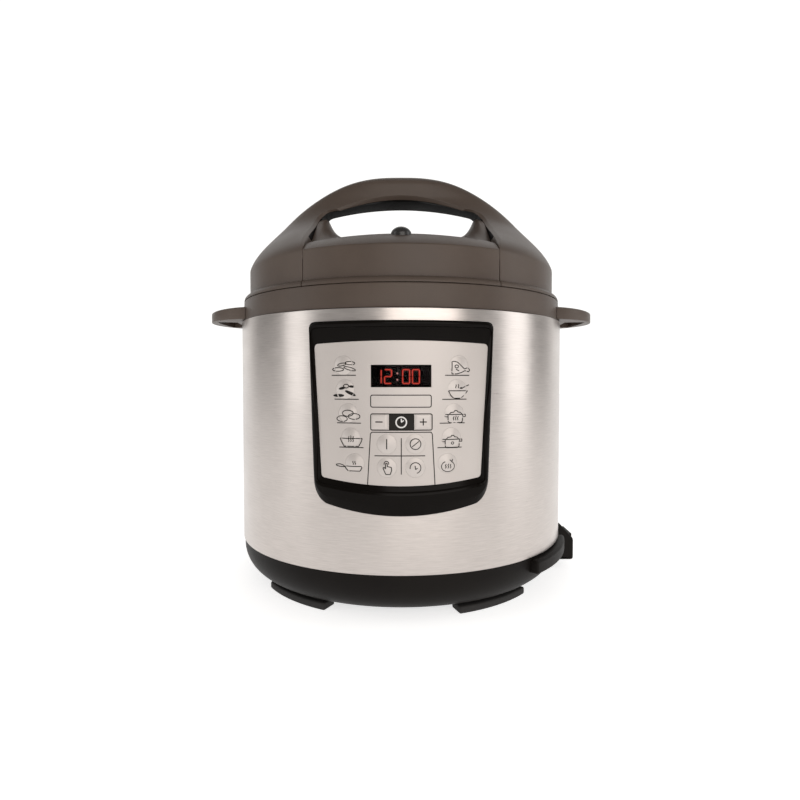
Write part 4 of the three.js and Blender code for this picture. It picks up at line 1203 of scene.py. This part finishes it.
def half_loop(inner, outer, chamfer, hollow, middle):
    """Half of the handle's section: its skin, its lip and its inner wall, back to the middle plane.

    The lip stands at the inner point and the wall behind it eases to the middle point.
    """
    span = np.linalg.norm(outer - inner)
    way = (outer - inner) / span
    t = np.linspace(0, 1, 500) ** 0.5
    spots = inner + (outer - inner) * t[:, None]
    depth = skin_depth(spots[:, 0], spots[:, 1])
    depth[-1] = 0
    skin = np.stack([span * t, depth], 1)[::-1]
    edge = float(skin_depth(inner[0], inner[1]))
    kept = skin[skin[:, 0] > chamfer]
    face_end = (chamfer, float(np.interp(chamfer, skin[::-1, 0], skin[::-1, 1])))
    face = resample(np.vstack([kept, face_end]), 62)
    wall_start = edge - chamfer * 0.85
    if hollow:
        wall_start = min(wall_start, math.sqrt(LID["inner"] ** 2 - inner[0] ** 2))
    soft = min(0.9, chamfer * 0.8)
    corners = [face[-2], face_end, (0, wall_start), (0, wall_start - 6)]
    turn = fillet(corners, [0, soft, soft, 0], 3, closed=False)
    depths = np.linspace(turn[-2][1], 0, 19)[1:]
    reach = np.sqrt(LID["inner"] ** 2 - depths ** 2) - inner[0] if hollow else np.zeros(len(depths))
    path = np.vstack([face[:-2], turn[:-1], np.stack([reach, depths], 1)])
    spots = inner + way * path[:, :1]
    behind = np.clip((turn[-2][1] - depths) / MOUTH_LIP, 0, 1)
    spots[-len(depths):] += (middle - inner) * smoothstep(behind)[:, None]
    return np.stack([spots[:, 0], -path[:, 1], spots[:, 1]], 1)


def whole_loop(inner, outer, chamfer, hollow=False, rear=None):
    """The handle's whole section; its rear lip may stand at a point of its own."""
    inner, outer = np.asarray(inner, float), np.asarray(outer, float)
    rear = inner if rear is None else np.asarray(rear, float)
    front = half_loop(inner, outer, chamfer, hollow, rear)
    back = half_loop(rear, outer, chamfer, hollow, rear)
    return np.vstack([front, back[1:-1][::-1] * (1, -1, 1)])


def rim_bead():
    """The quarter round of the lid's rim: radii and heights, from its foot to its top."""
    angles = np.linspace(0, np.pi / 2, 9)
    return np.stack([LID["r"] + (LID["bead"] - LID["r"]) * np.cos(angles),
                     LID["bottom"] + (LID["bead_top"] - LID["bottom"]) * np.sin(angles)], 1)


def lid_handle():
    """The bridge: two shells that rise from the lid's rim and meet in the grip, as one long sweep."""
    half = DOME["half"] + GAP
    low_rows = [*rim_bead()[:, 1], 227.0, 231.0, 235.0, 238.5, LID["ceiling"]]
    high_rows = [LID["ceiling"], 243.5, 245.4, 246.6, 248.0, *np.arange(250.0, MOUTH_START - 1, 1.75)]
    sharp, more, start, end = sizes(EDGE, "sharp more from to")
    right = [whole_loop((half, z), (skin_section(z)[0], z), sharp, True) for z in low_rows]
    for z in high_rows:
        chamfer = sharp + more * smoothstep((z - start) / (end - start))
        right.append(whole_loop((half, z), (skin_section(z)[0], z), chamfer))
    front, rear = tunnel_side(FRONT_MOUTH), tunnel_side(REAR_MOUTH)
    outer = ridge_side(MOUTH_START, len(front))
    right += [whole_loop(a, b, sharp + more, rear=c) for a, b, c in zip(front, outer, rear)]
    return tube(both_sides(right))


def shade_under_grip(centre, normal):
    """Whether a face of the handle lies in the hollow under the grip, whose walls are painted black as
    painted shade.
    """
    x, y, z = centre
    inwards = -np.sign(x) * normal[0] - normal[2]
    from_mouth = -np.sign(y) * normal[1]
    return z > SHADE_PAINTED_FROM and abs(x) < DOME["half"] + 2 and inwards > 0.3 and from_mouth > -0.5


def grip_strip():
    """The soft strip that closes the grip from below, a little proud of it. Its near-black colour is painted
    shade for the shadow under the grip.
    """
    outline = tunnel_side(REAR_MOUTH, 72)
    way = unit(np.gradient(outline, axis=0))
    normal = np.stack([way[:, 1], -way[:, 0]], 1)
    keep = outline[:, 0] < STRIP["reach"]
    half, sunk, proud = sizes(STRIP, "half sunk proud")
    section = fillet([(-half, sunk), (-half, -proud), (half, -proud), (half, sunk)], [0, 0.9, 0.9, 0], 4)
    right = []
    for spot, up in zip(outline[keep], normal[keep]):
        lifted = spot + section[:, 1:] * np.abs(up)
        right.append(np.stack([lifted[:, 0], section[:, 0], lifted[:, 1]], 1))
    right[-1][:, 0] = 0
    return tube(both_sides(right))


def dome_height(r):
    """The low dome of the lid's middle, which rolls over to the lid's rim."""
    over = np.clip((r - DOME["r"]) / (LID["r"] - DOME["r"]), 0, None)
    return DOME["edge"] + DOME["crown"] * (1 - (r / DOME["r"]) ** 2) - DOME["roll"] * over ** 2.2


def ridged_dome(x, y):
    """The dome with a ridge along both its sides, which meets the handle's inner walls."""
    length = np.clip(1 - (y / RIDGE["half"]) ** 2, 0, 1) ** 1.5
    inwards = np.clip(DOME["half"] - np.abs(x) - RIDGE["top"], 0, None)
    return dome_height(np.hypot(x, y)) + RIDGE["height"] * length * np.exp(-inwards / RIDGE["fall"])


def cover_column(x, side_round):
    """One section of the lid's middle, across it at a distance from the middle line."""
    bead = rim_bead()
    radii = np.linspace(LID["r"], DOME["r"], 15)
    slope = np.stack([radii, dome_height(radii)], 1)
    corner = fillet([bead[-1], (LID["r"], LID["shoulder"] + 1), slope[1], slope[2]], [0, 1.6, 0, 0], 5,
                    closed=False)
    rim = join(bead, corner[:-2], slope[1:])
    rim_y = -np.sqrt(np.maximum(rim[:, 0] ** 2 - x * x, 0))
    flat_y = np.linspace(rim_y[-1], 0, 34)[1:]
    front = np.column_stack([np.concatenate([rim_y, flat_y]),
                             np.concatenate([rim[:, 1], ridged_dome(x, flat_y)])])
    section = np.vstack([front, front[:-1][::-1] * (-1, 1)])
    way = unit(np.gradient(section, axis=0))
    outwards = np.stack([-way[:, 1], way[:, 0]], 1)
    outer = section - outwards * side_round
    inner = section - outwards * DOME["wall"]
    inner[:, 1] = np.maximum(inner[:, 1], LID["bottom"])
    loop = np.vstack([outer, inner[::-1]])
    return np.column_stack([np.full(len(loop), x), loop])


def lid_cover():
    half, soft = DOME["half"] + 0.2, 0.25
    turns = np.linspace(0, np.pi / 2, 5)
    edge = zip(half - soft * (1 - np.cos(turns)), soft * (1 - np.sin(turns)))
    inside = half - soft - (half - soft) * np.linspace(0, 1, 42)[1:] ** 1.35
    right = [cover_column(x, drop) for x, drop in [*edge, *((x, 0.0) for x in inside)]]
    bores = [(FLOAT["cap"] + GAP, FLOAT["y"]), (VENT["r"] + 3, VALVE["y"])]
    return boolean(tube(both_sides(right)), merged(*[rod(r, 228, 300, y=y) for r, y in bores]))


def steel_lid():
    r, wall, top, bottom = sizes(STEEL_LID, "r wall top bottom")
    dish = turned(fillet([
        (0, top), (r, top), (r, bottom), (r - wall, bottom), (r - wall, top - wall), (0, top - wall),
    ], [0, 10, 0.5, 0.5, 8.5, 0], 8))
    rim = teeth(r - 0.5, BAYONET["lid_outer"], STEEL_LID["tooth_bottom"], STEEL_LID["tooth_top"])
    bores = [(3, FLOAT["y"]), (VENT["r"] + GAP, VALVE["y"]), (3.3, 0)]
    return boolean(boolean(dish, rim, "UNION"), merged(*[rod(r, 220, 250, y=y) for r, y in bores]))


def centre_post():
    r, bottom, step, neck, head, rise = sizes(POST, "r bottom step neck head rise")
    seat = STEEL_LID["top"] + GAP
    return turned(fillet([
        (0, bottom), (r, bottom), (r, step), (neck, step), (neck, seat), (head, seat), (head, seat + rise),
        (0, seat + rise),
    ], [0, 0.5, 0, 0, 0, 0.4, 1.0, 0]), ROUND_SMALL)


def inner_lid_plate():
    hole, bottom, edge, flat, slope, top = sizes(PLATE, "hole bottom edge flat slope top")
    outer = RING["inner"] - 0.6
    plate = turned(fillet([
        (hole, bottom), (outer, bottom), (outer, edge), (flat, edge), (slope, top), (hole, top),
    ], [0.5, 0.6, 0.4, 3, 3, 0.5]))
    return boolean(plate, rod(6, bottom - 7, top + 5, y=VALVE["y"]))


def sealing_ring():
    inner, outer, bottom, top = sizes(RING, "inner outer bottom top")
    return turned(fillet([
        (inner, bottom + 0.6), (outer - 6, bottom), (outer, bottom + 0.4), (outer, bottom + 3.4),
        (outer - 4, top), (outer - 6, top), (outer - 3, bottom + 3), (inner, bottom + 3.6),
    ], 0.7, 3))


def vent_pipe():
    bore, r, flange, bottom, seat, top = sizes(VENT, "bore r flange bottom seat top")
    return turned(fillet([
        (bore, bottom), (flange, bottom), (flange, seat), (r, seat), (r, top), (bore, top),
    ], [0, 0.6, 0.6, 0.4, 0.5, 0]), ROUND_SMALL, 0, VALVE["y"])


def steam_knob():
    """A fluted knob with a pointer that shows which way it is turned."""
    r, bottom, top = sizes(VALVE, "knob bottom top")
    body = turned(fillet([
        (0, top - 6), (2.6, top - 6), (4.3, bottom + 12), (4.3, bottom), (r - 1, bottom), (r, bottom + 3),
        (r - 1.2, top - 6), (r - 4, top), (0, top - 0.4),
    ], [0, 0, 0, 0, 1.0, 1.0, 3.0, 2.0, 0]), ROUND_SMALL)
    pointer = box(-2.5, 2.5, -r - 5, -r + 4, bottom + 3, bottom + 12, 0.9)
    groove = rod(0.7, bottom + 5, top - 7, x=r + 0.2, segments=12)
    flutes = [spun(groove, angle) for angle in range(10, 360, 20) if not 235 < angle < 305]
    points, faces = boolean(boolean(body, merged(*flutes)), pointer, "UNION")
    return points + (0, VALVE["y"], 0), faces


def float_valve():
    """A capped pin: the cap is a short drum with a groove round it, under a low dome."""
    cap, pin, bottom, skirt, groove, high = sizes(FLOAT, "cap pin bottom skirt groove dome")
    waist, base = cap - 0.35, FLOAT["top"] - high
    dome = [(cap * math.cos(a), base + high * math.sin(a)) for a in np.linspace(0, np.pi / 2, 12)]
    profile = join([(0, bottom), (pin, bottom), (pin, skirt), (cap - 0.6, skirt), (cap, skirt + 0.6)],
                   [(cap, groove), (waist, groove + 0.3), (waist, groove + 1), (cap, groove + 1.3)], dome)
    return turned(profile, ROUND_SMALL, 0, FLOAT["y"])


# ---------------------------------------------------------------- back


def condensate_cup():
    half, near, far, bottom, top, wall = sizes(CUP, "half near far bottom top wall")
    outer = fillet([(-half, near), (half, near), (half, far), (-half, far)], [1.2, 1.2, 7, 7], 8)
    inner = inset(outer, wall)
    levels = [
        (outer, 1.6, bottom), (outer, 0.5, bottom + 0.5), (outer, 0, bottom + 1.6), (outer, 0, top - 0.5),
        (outer, 0.4, top), (inner, -0.4, top), (inner, 0, top - 0.5), (inner, 0, bottom + wall + 1.5),
        (inner, 1.4, bottom + wall),
    ]
    return tube([lying(inset(outline, distance), height) for outline, distance, height in levels])


def cup_bracket():
    back, face, bottom, top, inner, lip, reach = sizes(BRACKET, "back face bottom top inner lip reach")
    sweep = math.degrees(math.asin((inner + 1) / back))
    section = fillet([(back, bottom), (face, bottom), (face, top), (back, top)], 0.5, 3)
    plate = arc_bar(section, 90 - sweep, 90 + sweep, 0.4)
    lips = [box(x, x + lip, back - 0.7, reach, bottom, top, 0.5) for x in (-inner - lip, inner)]
    return boolean(boolean(plate, lips[0], "UNION"), lips[1], "UNION")


# ---------------------------------------------------------------- assembly

PLAIN_PIECES = {
    "base_tray": base_tray(), **{f"foot_pad_{i + 1}": foot(i) for i in range(len(FOOT["middles"]))},
    "outer_shell": drum(), "top_collar": collar(), "side_handle_left": ear(-1), "side_handle_right": ear(1),
    "pressure_vessel": pressure_vessel(), "inner_pot": inner_pot(), "heating_plate": heating_plate(),
    "temperature_sensor": sensor(), "panel_bezel": bezel(), "display_window": window_pane(),
    "handle_underside": grip_strip(), "lid_cover": lid_cover(), "steel_lid": steel_lid(),
    "centre_post": centre_post(), "inner_lid_plate": inner_lid_plate(), "sealing_ring": sealing_ring(),
    "vent_pipe": vent_pipe(), "steam_valve_knob": steam_knob(), "float_valve": float_valve(),
    "condensate_cup": condensate_cup(), "cup_bracket": cup_bracket(),
}
for node, shape in PLAIN_PIECES.items():
    stand_in(node, (shape, SLOT_FINISH[SLOT_OF[node]]))
# The handle's faces in the hollow under the grip get near-black: painted shade for the shadow there.
stand_in("lid_handle", (lid_handle(), BROWN), painted=(UNDER_GRIP_SHADE_BLACK, shade_under_grip))

fascia_marks = []
for key in KEYS:
    own, around = icon(key)
    fascia_marks += around
    stand_in(key["node"], (key_shape(key), KEY_SILVER), (merged(*own), INK))
dark_print = merged(panel_print(), *fascia_marks)
stand_in("panel_fascia", (fascia(), SILVER), (dark_print, INK), (clock(), PALE_INK))
bars, dots = digits()
stand_in("display_module", (display_module(), NEAR_BLACK), (bars, RED_GLOW), (dots, PALE_GLOW))

# The CAD's own pieces that are still to be seen.
for node, thing in frame["nodes"].items():
    if thing.hide_render:
        continue
    thing.data.materials.clear()
    thing.data.materials.append(SLOT_FINISH[SLOT_OF[node]])

# ---------------------------------------------------------------- studio

# The studio is in metres, and the camera's pitch in degrees.
FLOOR = {"half": 6.0, "glow": 0.70}
BACKDROP = {"dim_until": 0.45, "white_from": 0.68, "dim": 0.33, "white": 1.1}
CAMERA = {"lens": 25.45, "sensor": 36.0, "shift": (-0.0014, -0.0015), "back": 0.490, "height": 0.1593,
          "pitch": 88.13}


def white_surface():
    finish = Finish("studio_paper", roughness=0.9, Specular_IOR_Level=0.0, Emission_Strength=FLOOR["glow"])
    finish.set("Emission Color", (1, 1, 1, 1))
    grain = finish.noise(None, scale=40.0, detail=3.0)
    return finish.colour(grain, (0.72, 0.71, 0.70), (0.74, 0.73, 0.72)).material


def studio_floor():
    half = FLOOR["half"]
    mesh = bpy.data.meshes.new("studio_floor")
    corners = [(-half, -half, 0), (half, -half, 0), (half, half, 0), (-half, half, 0)]
    mesh.from_pydata(corners, [], [(0, 1, 2, 3)])
    mesh.materials.append(white_surface())
    floor = bpy.data.objects.new("studio_floor", mesh)
    bpy.context.scene.collection.objects.link(floor)


def area_light(name, place, target, size, power, colour=(1, 1, 1)):
    lamp = bpy.data.lights.new(name, "AREA")
    lamp.shape = "RECTANGLE"
    lamp.size, lamp.size_y = size
    lamp.energy = power
    lamp.color = colour
    thing = bpy.data.objects.new(name, lamp)
    thing.location = place
    direction = np.array(target) - np.array(place)
    turn = math.atan2(direction[0], -direction[1])
    pitch = math.atan2(math.hypot(direction[0], direction[1]), -direction[2])
    thing.rotation_euler = (pitch, 0, math.pi + turn)
    bpy.context.scene.collection.objects.link(thing)


def studio_world():
    """A white backdrop behind the cooker, in a dim grey room."""
    world = bpy.data.worlds.new("studio")
    world.use_nodes = True
    tree = world.node_tree
    place = tree.nodes.new("ShaderNodeTexCoord")
    parts = tree.nodes.new("ShaderNodeSeparateXYZ")
    fade = tree.nodes.new("ShaderNodeMapRange")
    fade.inputs["From Min"].default_value = BACKDROP["dim_until"]
    fade.inputs["From Max"].default_value = BACKDROP["white_from"]
    fade.inputs["To Min"].default_value = BACKDROP["dim"]
    fade.inputs["To Max"].default_value = BACKDROP["white"]
    tree.links.new(place.outputs["Generated"], parts.inputs[0])
    tree.links.new(parts.outputs["Y"], fade.inputs["Value"])
    background = tree.nodes["Background"]
    background.inputs["Color"].default_value = (1.0, 0.99, 0.975, 1)
    tree.links.new(fade.outputs["Result"], background.inputs["Strength"])
    bpy.context.scene.world = world


def studio_camera():
    camera = bpy.data.cameras.new("camera")
    camera.lens = CAMERA["lens"]
    camera.sensor_width = CAMERA["sensor"]
    camera.shift_x, camera.shift_y = CAMERA["shift"]
    thing = bpy.data.objects.new("camera", camera)
    thing.location = (0, AXIS_Y - CAMERA["back"], CAMERA["height"])
    thing.rotation_euler = (math.radians(CAMERA["pitch"]), 0, 0)
    bpy.context.scene.collection.objects.link(thing)
    bpy.context.scene.camera = thing


studio_floor()
studio_world()
studio_camera()
area_light("left_softbox", (-1.10, -0.40, 0.55), (0, 0, 0.15), (0.40, 1.0), 1.9)
area_light("right_softbox", (1.17, -0.20, 0.55), (0, 0, 0.15), (0.50, 1.0), 2.9)
area_light("front_softbox", (0.35, -1.45, 0.60), (0, 0, 0.2), (1.3, 0.9), 8.5, (1.0, 0.945, 0.90))
bpy.context.scene.view_settings.view_transform = "Standard"
